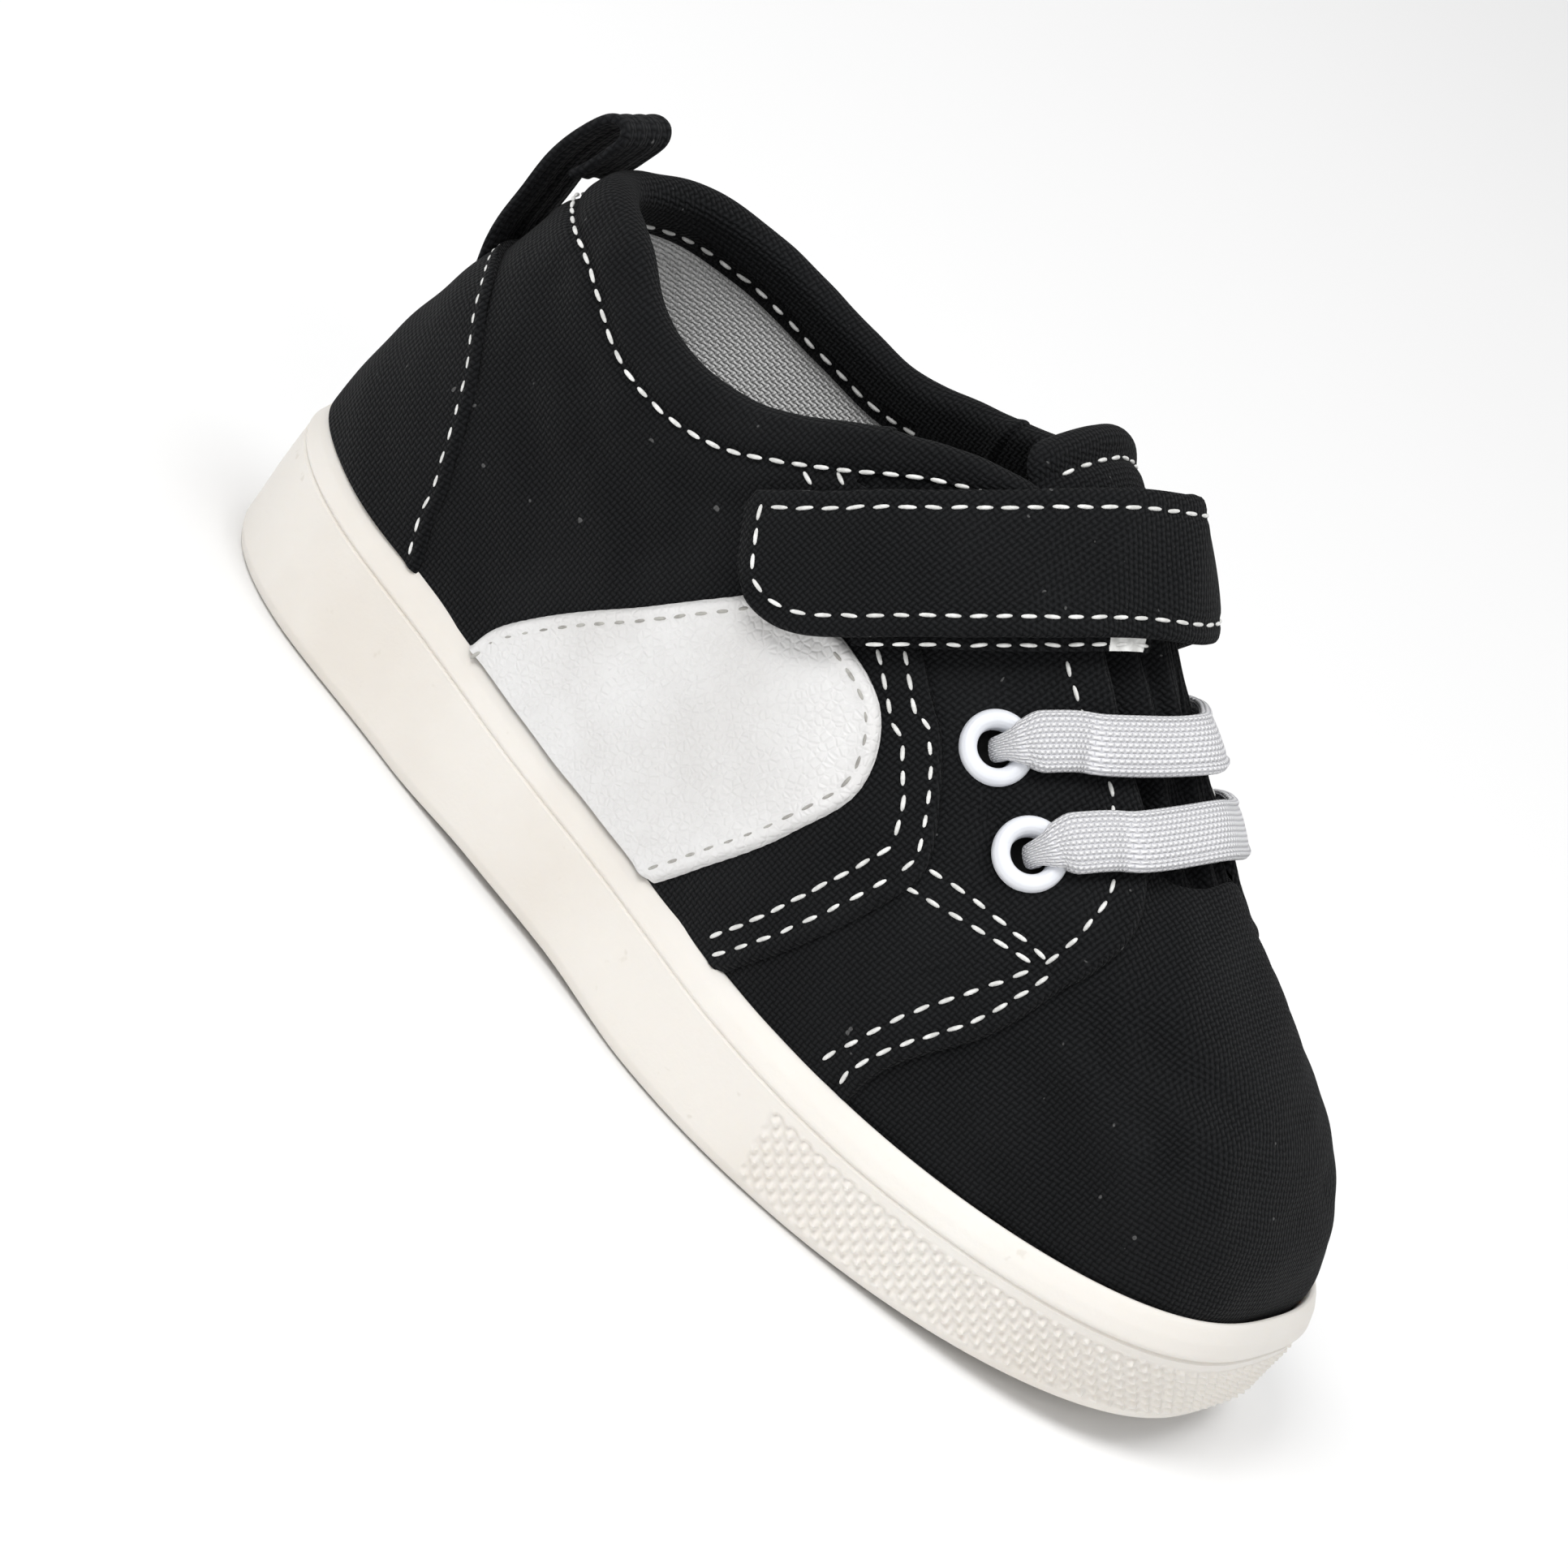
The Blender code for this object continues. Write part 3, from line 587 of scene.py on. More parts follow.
# %% Cup sole
ring_st = np.linspace(0.0, 2.0, 4001)
rx, ry, _ = outline(ring_st, 0.7)
ring_arc = run_of(np.stack([rx, ry], 1))
KNURL_FROM, KNURL_TO, KNURL_PITCH, KNURL_EDGE = 0.622, 1.38, 1.5, 0.004
weight = np.where((ring_st > 0.5) & (ring_st < 1.45), 3.6, 1.0)
share = np.concatenate([[0], np.cumsum(np.diff(ring_arc) * weight[1:])])
share /= share[-1]
PROFILE = [  # share of the strip, inset, then z as (of the rim, of the floor, of the ground) plus mm
    (0, 7, "ground", 0), (0.03, 2.6, "ground", 0), (0.055, 1.4, "ground", 0.45), (0.1, 0.8, "ground", 1.8),
    (0.58, 0.35, "rim", -4.75), (0.595, 0.3, "rim", -4.5), (0.61, 0.58, "rim", -4.3), (0.635, 0.58, "rim", -4.15),
    (0.65, 0.2, "rim", -3.85), (0.665, 0.18, "rim", -3.5), (0.73, 0.75, "rim", -1.9), (0.79, 1.45, "rim", -0.75),
    (0.82, 1.8, "rim", -0.28), (0.85, 2.15, "rim", -0.03), (0.88, 2.5, "rim", -0.12), (0.9, 2.7, "rim", -0.5),
    (0.95, 3, "floor", 0.8), (0.97, 3.6, "floor", 0), (1, 8, "floor", 0),
]


def sole_place(u, v):
    st = np.interp(u, share, ring_st)
    s = (1 - np.cos(st * math.pi)) / 2
    level = {"rim": rim(s), "floor": FLOOR + spring(s), "ground": spring(s) + arch(s)}
    knots, insets = (np.array([p[i] for p in PROFILE]) for i in (0, 1))
    zs = np.stack([level[p[2]] + p[3] for p in PROFILE], 1)
    k = np.clip(np.searchsorted(knots, v, side="right") - 1, 0, len(knots) - 2)
    f = (v - knots[k]) / (knots[k + 1] - knots[k])
    inset = insets[k] * (1 - f) + insets[k + 1] * f
    i = np.arange(len(k))
    z = zs[i, k] * (1 - f) + zs[i, k + 1] * f
    arc = np.interp(st, ring_st, ring_arc)
    # the moulded diamonds, under a slanting end on the lateral side
    slant = (z - 5.0) * 0.0008
    zone = smooth(KNURL_FROM, KNURL_FROM + KNURL_EDGE, st + slant)
    zone = zone * (1 - smooth(KNURL_TO - KNURL_EDGE, KNURL_TO, st)) * smooth(1.2, 2.2, z - level["ground"])
    zone = zone * (1 - smooth(-6.0, -5.4, z - level["rim"])) * (v < 0.59)
    turns = 2 * math.pi / KNURL_PITCH / 1.414  # the rows run at 45 degrees
    bump_up = (1 + np.cos(turns * (arc + z))) * (1 + np.cos(turns * (arc - z))) / 4
    inset = inset + zone * (0.36 - 0.76 * bump_up)
    # the wall is a little uneven, as a moulding is
    uneven = np.sin(arc * 14 * math.pi / ring_arc[-1]) * np.sin(z * 0.35 + 1.0)
    inset = inset + 0.1 * uneven * (v < 0.9)
    x, y, _ = outline(st, inset)
    return np.stack([x, y - MID_Y, z], 1)


cover("cup_sole_rubber", 880, 108, sole_place, rubber, "sole_rubber", ["cup_sole"], 50.0)


def across_sole(inset, height):
    def where(u, v):
        st = 0.012 + 0.976 * u
        x, lateral, s = outline(st, inset)
        y = lateral * (1 - v) + outline(2.0 - st, inset)[1] * v
        return np.stack([x, y - MID_Y, height(x, y, v, s)], 1)
    return where


def tread_height(x, y, v, s):
    edge = np.minimum(smooth(0.0, 0.08, v), smooth(0.0, 0.08, 1 - v))
    edge = edge * smooth(0.0, 0.03, s) * smooth(0.0, 0.03, 1 - s)
    zig = x + 2.2 * np.abs(np.mod(y / 7.0, 2.0) - 1.0)
    groove = smooth(0.62, 0.82, np.abs(np.mod(zig / 5.2, 1.0) - 0.5) * 2)
    return spring(s) + arch(s) + 0.02 + 1.1 * groove * edge


cover("tread_rubber", 320, 110, across_sole(6.8, tread_height), rubber,
      "sole_rubber", ["cup_sole"], 50.0, False)


def insole_height(x, y, v, s):
    side = np.abs(2 * v - 1)
    rolled_up = 2.2 * side**6 + 0.9 * smooth(0.12, 0.0, s)
    return FLOOR + spring(s) + 3.3 + rolled_up - 0.35 * smooth(0.35, 0.1, s) * (1 - side**2)


insole = laid_grid("insole_sock", 120, 50, across_sole(5.0, insole_height))
finish_piece(insole, insole_mat, "insole_foam", ["insole"])

# %% [markdown]
# ## Listed creases
# A worn shoe is full of soft troughs and ridges. Each one is a line between
# places on the last, with a depth and a width in millimetres: below zero is a
# trough and above zero a ridge. They move every layer together. Each row of
# sewing pulls the cloth in a little too.

# %% Creases and seams
def curve_through(points, steps=24):
    """Dense smooth curve through a list of places."""
    p = np.asarray(points, float)
    q = np.concatenate([2 * p[:1] - p[1:2], p, 2 * p[-1:] - p[-2:-1]])
    f = np.linspace(0, 1, steps, endpoint=False)[:, None]
    parts = []
    for i in range(len(p) - 1):
        a0, a1, a2, a3 = q[i:i + 4]
        square, cube = 2 * a0 - 5 * a1 + 4 * a2 - a3, 3 * a1 - a0 - 3 * a2 + a3
        parts.append(0.5 * (2 * a1 + (a2 - a0) * f + square * f**2 + cube * f**3))
    return np.concatenate([*parts, p[-1:]])


def other_side(places):
    return [(2.0 - st, up) for st, up in places]


SEWING = {
    "front_1": [
        (0.447, 0.895), (0.457, 0.86), (0.545, 0.57), (0.565, 0.53),
        (0.577, 0.49), (0.585, 0.46), (0.59, 0.415),
    ],
    "front_2": [
        (0.461, 0.91), (0.47, 0.88), (0.555, 0.6), (0.572, 0.58),
        (0.587, 0.54), (0.6, 0.48), (0.606, 0.43), (0.602, 0.385),
    ],
    "slant_1": [(0.598, 0.415), (0.647, 0.47), (0.718, 0.525)],
    "slant_2": [(0.605, 0.375), (0.652, 0.43), (0.707, 0.49)],
    "rear_1": [(0.592, 0.41), (0.567, 0.22), (0.54, 0.02)],
    "rear_2": [(0.6, 0.37), (0.575, 0.19), (0.547, 0.0)],
    "vamp_1": [(0.707, 0.48), (0.65, 0.24), (0.627, 0.08), (0.622, 0.02)],
    "vamp_2": [(0.722, 0.51), (0.685, 0.32), (0.65, 0.16), (0.637, 0.06), (0.637, 0.01)],
    "facing": [(0.607, 0.92), (0.637, 0.92), (0.687, 0.93), (0.712, 0.93),
               (0.75, 0.82), (0.74, 0.67), (0.722, 0.55), (0.712, 0.505)],
}
HEEL_ROW = [
    (0.27, 0), (0.257, 0.12), (0.247, 0.24), (0.21, 0.44), (0.152, 0.56), (0.097, 0.61), (0, 0.63),
]
COLLAR_ROW = [
    (0, 0.895), (0.1, 0.895), (0.195, 0.893), (0.257, 0.887), (0.33, 0.892), (0.375, 0.893), (0.412, 0.9),
    (0.455, 0.912), (0.485, 0.935), (0.515, 0.955), (0.53, 0.965), (0.56, 0.972), (0.6, 0.975),
]
SADDLE_LEFT = [(0.338, -0.03), (0.346, 0.1), (0.38, 0.3), (0.425, 0.48), (0.47, 0.62)]
SADDLE_RIGHT = [
    (0.497, -0.03), (0.515, 0.1), (0.543, 0.27), (0.562, 0.42), (0.548, 0.54), (0.5, 0.615), (0.474, 0.62),
]

CREASES = [  # places, depth mm, half-width mm
    ([(0.15, 0.83), (0.24, 0.74), (0.33, 0.78)], -0.9, 3),
    ([(0.2, 0.6), (0.29, 0.52), (0.35, 0.55)], -0.7, 3.4),
    ([(0.3, 0.7), (0.38, 0.6), (0.44, 0.7)], -0.9, 3.2),
    ([(0.33, 0.84), (0.42, 0.76), (0.46, 0.84)], -0.8, 2.4),
    ([(0.32, 0.64), (0.4, 0.52)], 0.6, 3),
    ([(0.47, 0.8), (0.52, 0.66)], -0.6, 2.4),
    ([(0.56, 0.3), (0.6, 0.33)], -0.5, 2.6),
    ([(0.62, 0.62), (0.68, 0.56)], -0.6, 3),
    ([(0.64, 0.34), (0.69, 0.2)], -0.7, 3.2),
    ([(0.7, 0.36), (0.76, 0.22), (0.8, 0.16)], -0.9, 3.4),
    ([(0.745, 0.56), (0.8, 0.4), (0.86, 0.36)], -0.9, 3.2),
    ([(0.78, 0.66), (0.85, 0.56), (0.94, 0.56)], -0.8, 3),
    ([(0.76, 0.44), (0.83, 0.28)], 0.6, 3),
    ([(0.9, 0.42), (0.98, 0.3), (1.06, 0.36)], -0.6, 4),
    ([(1.12, 0.52), (1.2, 0.4), (1.25, 0.42)], -0.9, 3.2),
    ([(1.25, 0.34), (1.33, 0.22)], -0.8, 3.2),
    ([(1.3, 0.55), (1.37, 0.42)], -0.7, 3),
    ([(1.44, 0.7), (1.52, 0.55), (1.6, 0.62)], -1, 3.2),
    ([(1.62, 0.78), (1.7, 0.66), (1.78, 0.74)], -0.9, 3),
    ([(1.7, 0.5), (1.79, 0.4)], -0.7, 3.4),
    ([(1.5, 0.3), (1.58, 0.24)], -0.6, 3),
    ([(0.06, 0.74), (0, 0.7), (-0.06, 0.74)], -0.6, 3),
]
hollows = [(curve_through(places, 10), depth, half) for places, depth, half in CREASES]
SEAMS = [*((row, -0.22, 0.8) for row in (*SEWING.values(), HEEL_ROW)), (COLLAR_ROW, -0.55, 1.1)]
for seam, depth, half in SEAMS:
    for row in (seam, other_side(seam)):
        hollows.append((curve_through(row, 14), depth, half))
hollow_points = [(on_last(c[:, 0], c[:, 1]), d, w) for c, d, w in hollows]
EYELETS = {
    "eyelet_lateral_1": (0.675, 0.64), "eyelet_lateral_2": (0.612, 0.69),
    "eyelet_medial_1": (1.325, 0.64), "eyelet_medial_2": (1.388, 0.69),
}
eye_points = [on_last(*p) for p in EYELETS.values()]


def by_hand(p):
    """How far the listed creases, seams and holes move points p, mm."""
    flat = p.reshape(-1, 3)
    x, y, z = flat.T
    move = 0.16 * np.sin(x * 0.31 + z * 0.2) * np.sin(z * 0.33 - y * 0.22)
    move += 0.1 * np.sin(x * 0.72 + y * 0.5 + 1.3) * np.sin(z * 0.65 + 0.4)
    for line, depth, half in hollow_points:
        low, high = line.min(0) - 3 * half, line.max(0) + 3 * half
        near = np.nonzero(np.all((flat > low) & (flat < high), axis=1))[0]
        if not len(near):
            continue
        gap = flat[near][:, None, :] - line[None, :, :]
        d2 = (gap**2).sum(2)
        best = d2.argmin(1)
        ends = np.minimum(best, len(line) - 1 - best) / (0.25 * len(line))
        taper = smooth(0, 1, ends) if half > 1.5 else 1.0
        move[near] += depth * np.exp(-d2.min(1) / half**2) * taper
    for c in eye_points:
        d = np.linalg.norm(flat - c, axis=1)
        move -= 1.7 * (1 - smooth(2.2, 3.0, d))
    return move.reshape(p.shape[:-1])


def from_heel(st):
    """A station counted from the heel, the same on both sides."""
    return np.minimum(np.mod(st, 2.0), 2.0 - np.mod(st, 2.0))


def wall_at(st, up):
    near = from_heel(st)
    below = np.linalg.norm(on_last(st, 1.0) - on_last(st, up), axis=-1)
    return WALL + (COLLAR_WALL - WALL) * (1 - smooth(0.45, 0.53, near)) * (1 - smooth(1.5, 7.5, below))


def skin(st, w, lift=0.0):
    """The finished surface: w to 1 is outside, 1 to 2 rolls over the top, past 2 is inside."""
    st, w, lift = (np.asarray(v, float) for v in np.broadcast_arrays(st, w, lift))
    up = np.where(w <= 1, w, np.where(w <= 2, 1.0, 3.0 - w))
    base = on_last(st, up)
    n, along_up = facing(st, up)
    thick = wall_at(st, up)
    move = lift + by_hand(base) * np.clip(2.0 - w, 0.0, 1.0)
    ang = np.clip(w - 1, 0, 1) * math.pi
    outer = base + n * move[..., None]
    r = thick / 2 + move
    roll = base + n * (r * np.cos(ang) - thick / 2)[..., None] + along_up * (r * np.sin(ang))[..., None]
    inner = base - n * (thick + lift)[..., None]
    return np.where((w <= 1)[..., None], outer, np.where((w <= 2)[..., None], roll, inner))


print(len(CREASES), "creases by hand and", len(hollows) - len(CREASES), "seams")

# %% [markdown]
# ## The upper in layers
# The vamp goes all round as the lowest layer. The facing and side panels lie
# on it, and the rear quarter on them. A panel's open edge is a fold: it comes
# up steeply from the layer below and turns over.

# %% The lowest layer and the lining
VAMP, SIDE, QUARTER, HEEL = -0.45, 0.55, 1.35, 2.15  # how far out each layer lies
SADDLE = QUARTER + 0.95


def shell_place(u, v):
    w = np.interp(v, [0, 0.06, 0.84, 0.94, 1.0], [-0.6, 0.0, 1.0, 2.0, 2.08])
    return skin(2.0 * u, w, VAMP + 0.45 * (1 - smooth(0.0, 0.1, w)))


cover("vamp_canvas", 440, 96, shell_place, canvas, "canvas", ["upper"])


def lining_place(u, v):
    w = 1.97 + 1.9 * v
    lift = np.interp(w, [2.0, 2.06, 2.13, 2.5], [-1.2, -1.0, -0.25, 0.35])
    return skin(2.0 * u, np.maximum(w, 2.0001), lift)


cover("mesh_lining", 300, 70, lining_place, lining_mat, None, ["upper"],
      turn=lambda obj: face_out(obj, inside=True))


# %% Panels
def crossing(places, value, given, wanted):
    """Where the line through places has that value in one column, read in the other."""
    c = curve_through(places)
    c = c[np.argsort(c[:, given])]
    return np.interp(value, c[:, given], c[:, wanted])


def station_at(places, w):
    return crossing(places, w, 1, 0)


def station_up(places, st):
    return crossing(places, st, 0, 1)


def panel(name, left, right, low, high, base, lift, open_edges, mat, slot, columns=90, rows=110, fold=0.8):
    """A panel between two lines that climb the last, its open edges folded."""
    edge = []
    for side, places in (("left", left), ("right", right)):
        if side in open_edges:
            w = np.linspace(low, high, 400)
            edge.append(np.stack([station_at(places, w), w], 1))
    if "top" in open_edges:
        k = np.linspace(0, 1, 200)
        edge.append(np.stack([station_at(left, high) * (1 - k) + station_at(right, high) * k, 0 * k + high], 1))
    edge = np.concatenate(edge)
    edge_p = on_last(edge[:, 0], np.clip(edge[:, 1], -1, 1))
    tree = kdtree.KDTree(len(edge_p))
    for i, q in enumerate(edge_p):
        tree.insert(q, i)
    tree.balance()
    left_p, right_p = (on_last(station_at(places, 0.4), 0.4) for places in (left, right))
    one = min(0.3, 1.3 / (float(np.linalg.norm(left_p - right_p)) + 1.0))

    def where(u, v):
        # the grid is finer beside an open edge
        a0, a1 = (0.1, one) if "left" in open_edges else (0.001, 0.001)
        b0, b1 = (0.9, 1 - one) if "right" in open_edges else (0.999, 0.999)
        uu = np.interp(u, [0, a0, b0, 1], [0, a1, b1, 1])
        vv = np.interp(v, [0, 0.9, 1], [0, 0.965, 1]) if "top" in open_edges else v
        w = low + (high - low) * vv
        st = station_at(left, w) * (1 - uu) + station_at(right, w) * uu
        flat = on_last(st, np.clip(w, -1, 1))
        d = np.array([tree.find(q)[2] for q in flat])
        turned = np.sqrt(1 - (1 - np.clip(d / fold, 0, 1)) ** 2)
        h = base - 0.15 + (lift - base + 0.15) * turned + 0.26 * np.exp(-((d - 1.1) / 0.8) ** 2)
        near_collar = 1 - smooth(0.44, 0.52, from_heel(st))
        h = h - (lift - 0.4) * smooth(0.87, 0.97, w) * near_collar
        return skin(st, w, h)

    cover(name, columns, rows, where, mat, slot, ["upper"], closed=False, turn=face_away)


SIDE_FRONT = [
    (0.646, -0.05), (0.647, 0.06), (0.66, 0.16), (0.697, 0.32), (0.732, 0.5), (0.754, 0.6), (0.785, 0.78),
    (0.792, 0.88), (0.783, 0.95), (0.77, 1), (0.765, 1.5), (0.765, 2.1),
]
QUARTER_FRONT = [
    (0.555, -0.05), (0.56, 0.02), (0.585, 0.19), (0.61, 0.37), (0.615, 0.43), (0.609, 0.49), (0.596, 0.55),
    (0.58, 0.6), (0.562, 0.63), (0.52, 0.74), (0.482, 0.9), (0.47, 1), (0.468, 2.1),
]
QUARTER_BACK = [(st - 0.05, w) for st, w in QUARTER_FRONT]
HEEL_LINE = [(0.0, -0.05), (0.0, 2.1)]
HEEL_EDGE = [
    (0.28, -0.05), (0.277, 0.02), (0.266, 0.13), (0.256, 0.25), (0.22, 0.45), (0.16, 0.585),
    (0.1, 0.64), (0.02, 0.66),
]


def both_ends(side, rear, front):
    """The left and right edges of a side's panel: the stations run the other way round on the medial side."""
    return (rear, front) if side == "lateral" else (other_side(front), other_side(rear))


for side, open_ in (("lateral", ("right",)), ("medial", ("left",))):
    panel(f"facing_panel_{side}", *both_ends(side, QUARTER_BACK, SIDE_FRONT),
          -0.05, 2.1, VAMP, SIDE, open_, canvas, "canvas")
    panel(f"quarter_{side}", *both_ends(side, HEEL_LINE, QUARTER_FRONT),
          -0.05, 2.06, SIDE, QUARTER, open_, canvas, "canvas", 120, 120)
    panel(f"saddle_{side}", *both_ends(side, SADDLE_LEFT, SADDLE_RIGHT),
          -0.03, 0.62, QUARTER, SADDLE, ("left", "right", "top"), leather, None, 80, 80, 0.9)
panel("heel_counter", [(-st, w) for st, w in HEEL_EDGE], HEEL_EDGE,
      -0.05, 0.66, QUARTER, HEEL, ("left", "right", "top"), canvas, "canvas", 110, 70)


# %% Padded collar
INNER_ROW = 0.905  # where the inside row of sewing pulls the collar in
COLLAR_REACH = 0.585  # the collar's end, in stations each side of the heel


def collar_place(u, v):
    st = COLLAR_REACH * (2 * u - 1)
    near = np.abs(st)
    row = station_up(COLLAR_ROW, near)
    w = np.interp(v, [0, 0.42, 0.68, 1.0], [0, 1, 2, 3])
    depth_in = 0.135 - 0.095 * smooth(0.46, 0.575, near)
    w = np.where(w < 1, row + (1 - row) * w, np.where(w < 2, w, 2 + depth_in * (w - 2)))
    puff = np.sin(np.clip(v / 0.62, 0, 1) * math.pi) ** 0.8 + 0.35 * smooth(0.6, 0.75, v)
    puff = puff - 0.45 * np.exp(-((v - INNER_ROW) / 0.03) ** 2)
    fade = smooth(0.5, 0.44, near)
    wrinkle = 0.1 * np.sin(near * 95.0) * np.sin(v * 6.0)
    ground = np.interp(v, [0.0, 0.42, 0.68, 1.0], [QUARTER - 0.15, 0.62, 0.1, -0.05])
    ground = ground + (SIDE + 0.25 - ground) * smooth(0.47, 0.54, near)
    return skin(st, w, ground + fade * (0.45 * puff + wrinkle) * smooth(0.0, 0.12, v + 0.02))


collar = cover("padded_collar", 300, 70, collar_place, canvas_shaded, "canvas", ["upper"],
               closed=False, turn=face_away)

# %% [markdown]
# ## Strips: strap, tongue, laces and pull loop
# They are all flat strips with rounded edges, swept along a line. The strip's
# width may change along the line and differ between its two edges, which
# gives the strap its rounded corner.

# %% Strip helper
def strip(name, looks, centre, wide, plus, minus, half_thick, along, around, square, bow, relief=None):
    """A flat strip along centre. wide points to its plus edge; sizes are halves, in mm.

    looks is its finish, its slot (not used) and the node it stands for.
    """
    centre, wide = np.asarray(centre, float), np.asarray(wide, float)
    length = run_of(centre)
    tangent = unit(np.gradient(centre, axis=0))
    normal = unit(np.cross(wide, tangent))
    wide = np.cross(tangent, normal)
    sizes = (np.asarray(q, float) for q in (plus, minus, half_thick))
    plus, minus, half_thick = (np.broadcast_to(q, len(centre)) for q in sizes)
    phi = np.linspace(0, 2 * math.pi, 2001)
    cx = np.sign(np.cos(phi)) * np.abs(np.cos(phi)) ** square
    sy = np.sign(np.sin(phi)) * np.abs(np.sin(phi)) ** 0.6
    lap = run_of(np.stack([cx * plus.max(), sy * half_thick.max() * 1.6], 1))
    lap /= lap[-1]

    def where(u, v):
        k = u * length[-1]
        x, y = np.interp(v, lap, cx), np.interp(v, lap, sy)
        at, side, out = (read_at(k, length, q) for q in (centre, wide, normal))
        half = np.where(x >= 0, np.interp(k, length, plus), np.interp(k, length, minus))
        thick = np.interp(k, length, half_thick)
        extra = relief(k, x, length[-1]) if relief else 0.0
        return at + side * (x * half)[:, None] + out * (y * thick + extra - bow * x * x)[:, None]

    cover(name, along, around, where, *looks)
    return centre, wide, normal, length


# %% Hook-and-loop strap
STRAP = np.array([
    (-16.6, -27.2, 50.6, 0.86, -0.2, -0.46), (-10.5, -25.8, 56.2, 0.84, -0.22, -0.5),
    (-3, -22, 63.4, 0.8, -0.22, -0.56), (4.4, -14.6, 70.2, 0.76, -0.15, -0.63),
    (10.8, -4.4, 75.6, 0.72, -0.05, -0.69), (14.2, 6.6, 77, 0.7, 0.03, -0.71),
    (9.8, 17.5, 73, 0.76, 0.15, -0.63), (3.2, 26, 63, 0.82, 0.22, -0.53),
    (-3, 30, 52, 0.88, 0.22, -0.42), (-8.4, 31.2, 43.6, 0.92, 0.16, -0.36),
])
row = curve_through(STRAP, 24)
row[0, :3] -= (row[1, :3] - row[0, :3]) * 3.0  # the closed end reaches a little further
strap_line, strap_wide = row[:, :3].copy(), row[:, 3:].copy()
strap_line[:, 1] -= MID_Y
run = run_of(strap_line)
lifted = -0.9 + 1.15 * (1 - smooth(14, 34, run)) + 0.45 * smooth(run[-1] - 34, run[-1] - 14, run)
strap_line += unit(np.cross(strap_wide, np.gradient(strap_line, axis=0))) * lifted[:, None]
HALF, FRONT_RADIUS, FRONT_REACH, REAR_RADIUS = 8.3, 7.9, 10.5, 1.6


def corner(distance, radius, reach=None):
    """Half-width where a corner of that radius, or an oval one with a longer reach, begins the strip."""
    reach = reach or radius
    d = np.clip(distance, 0, reach)
    return HALF - radius + radius * np.sqrt(np.maximum(1 - (1 - d / reach) ** 2, 0))


def strap_relief(k, x, whole):
    seam = -0.2 * np.exp(-((np.abs(x) - 0.72) / 0.07) ** 2)
    ripple = 0.22 * np.sin(k * 0.23 + 0.6) * np.sin(x * 1.7 + 0.5) + 0.14 * np.sin(k * 0.61 + 2.0 * x)
    lifted = 0.55 * smooth(9.0, 0.0, k) * smooth(-0.2, 1.0, x)
    return seam + ripple + lifted


end_thick = 0.9 * np.sqrt(1 - (1 - np.clip(run / 0.7, 0, 1)) ** 2) + 0.02
s_line, s_wide, s_out, s_len = strip(
    "strap_canvas", (canvas_strap, "strap_canvas", ["strap"]), strap_line, strap_wide,
    corner(run, FRONT_RADIUS, FRONT_REACH), corner(run, REAR_RADIUS), end_thick, 240, 64, 0.3, 0.35, strap_relief)

# %% The hook pad that shows under the strap
pad_run = np.linspace(13.0, 50.0, 60)
pad_line, pad_wide, pad_out = (read_at(pad_run, s_len, q) for q in (s_line, s_wide, s_out))
pad_front = HALF + 1.5 * np.sin(np.linspace(0.12, 1, 60) * math.pi / 2) ** 0.5
strip("strap_pad", (canvas_shaded, "strap_canvas", ["strap"]), pad_line - pad_out * 1.35, pad_wide,
      pad_front, 5.0, 0.45, 90, 30, 0.3, 0.35)


def frayed(k, x, whole):
    return 0.12 * np.sin(k * 3.1) * (x > 0.9)


part = slice(48, 58)
strip("strap_raw_edge", (thread_mat, "strap_canvas", ["strap"]), (pad_line - pad_out + pad_wide * 0.55)[part],
      pad_wide[part], HALF + 0.9, 5.0, 0.3, 40, 24, 0.3, 0.35, frayed)

# %% Tongue
RIDGE = [  # x, y, z, how fast the sides drop, half-width
    (47.5, 5.6, 46.2, 0.04, 12.5), (41, 5.2, 49.6, 0.05, 13.5), (34, 5.1, 53.6, 0.06, 13.5),
    (26, 5, 59.2, 0.068, 13.5), (16, 4.8, 66, 0.075, 12.8), (7, 4.4, 72.4, 0.074, 12),
    (0.6, 4.6, 77, 0.04, 13.2), (-6.6, 4.2, 79.6, 0.024, 12.8),
]
ridge = curve_through(RIDGE, 20)
ridge_len = run_of(ridge[:, :3])
ridge_tan = unit(np.gradient(ridge[:, :3], axis=0))


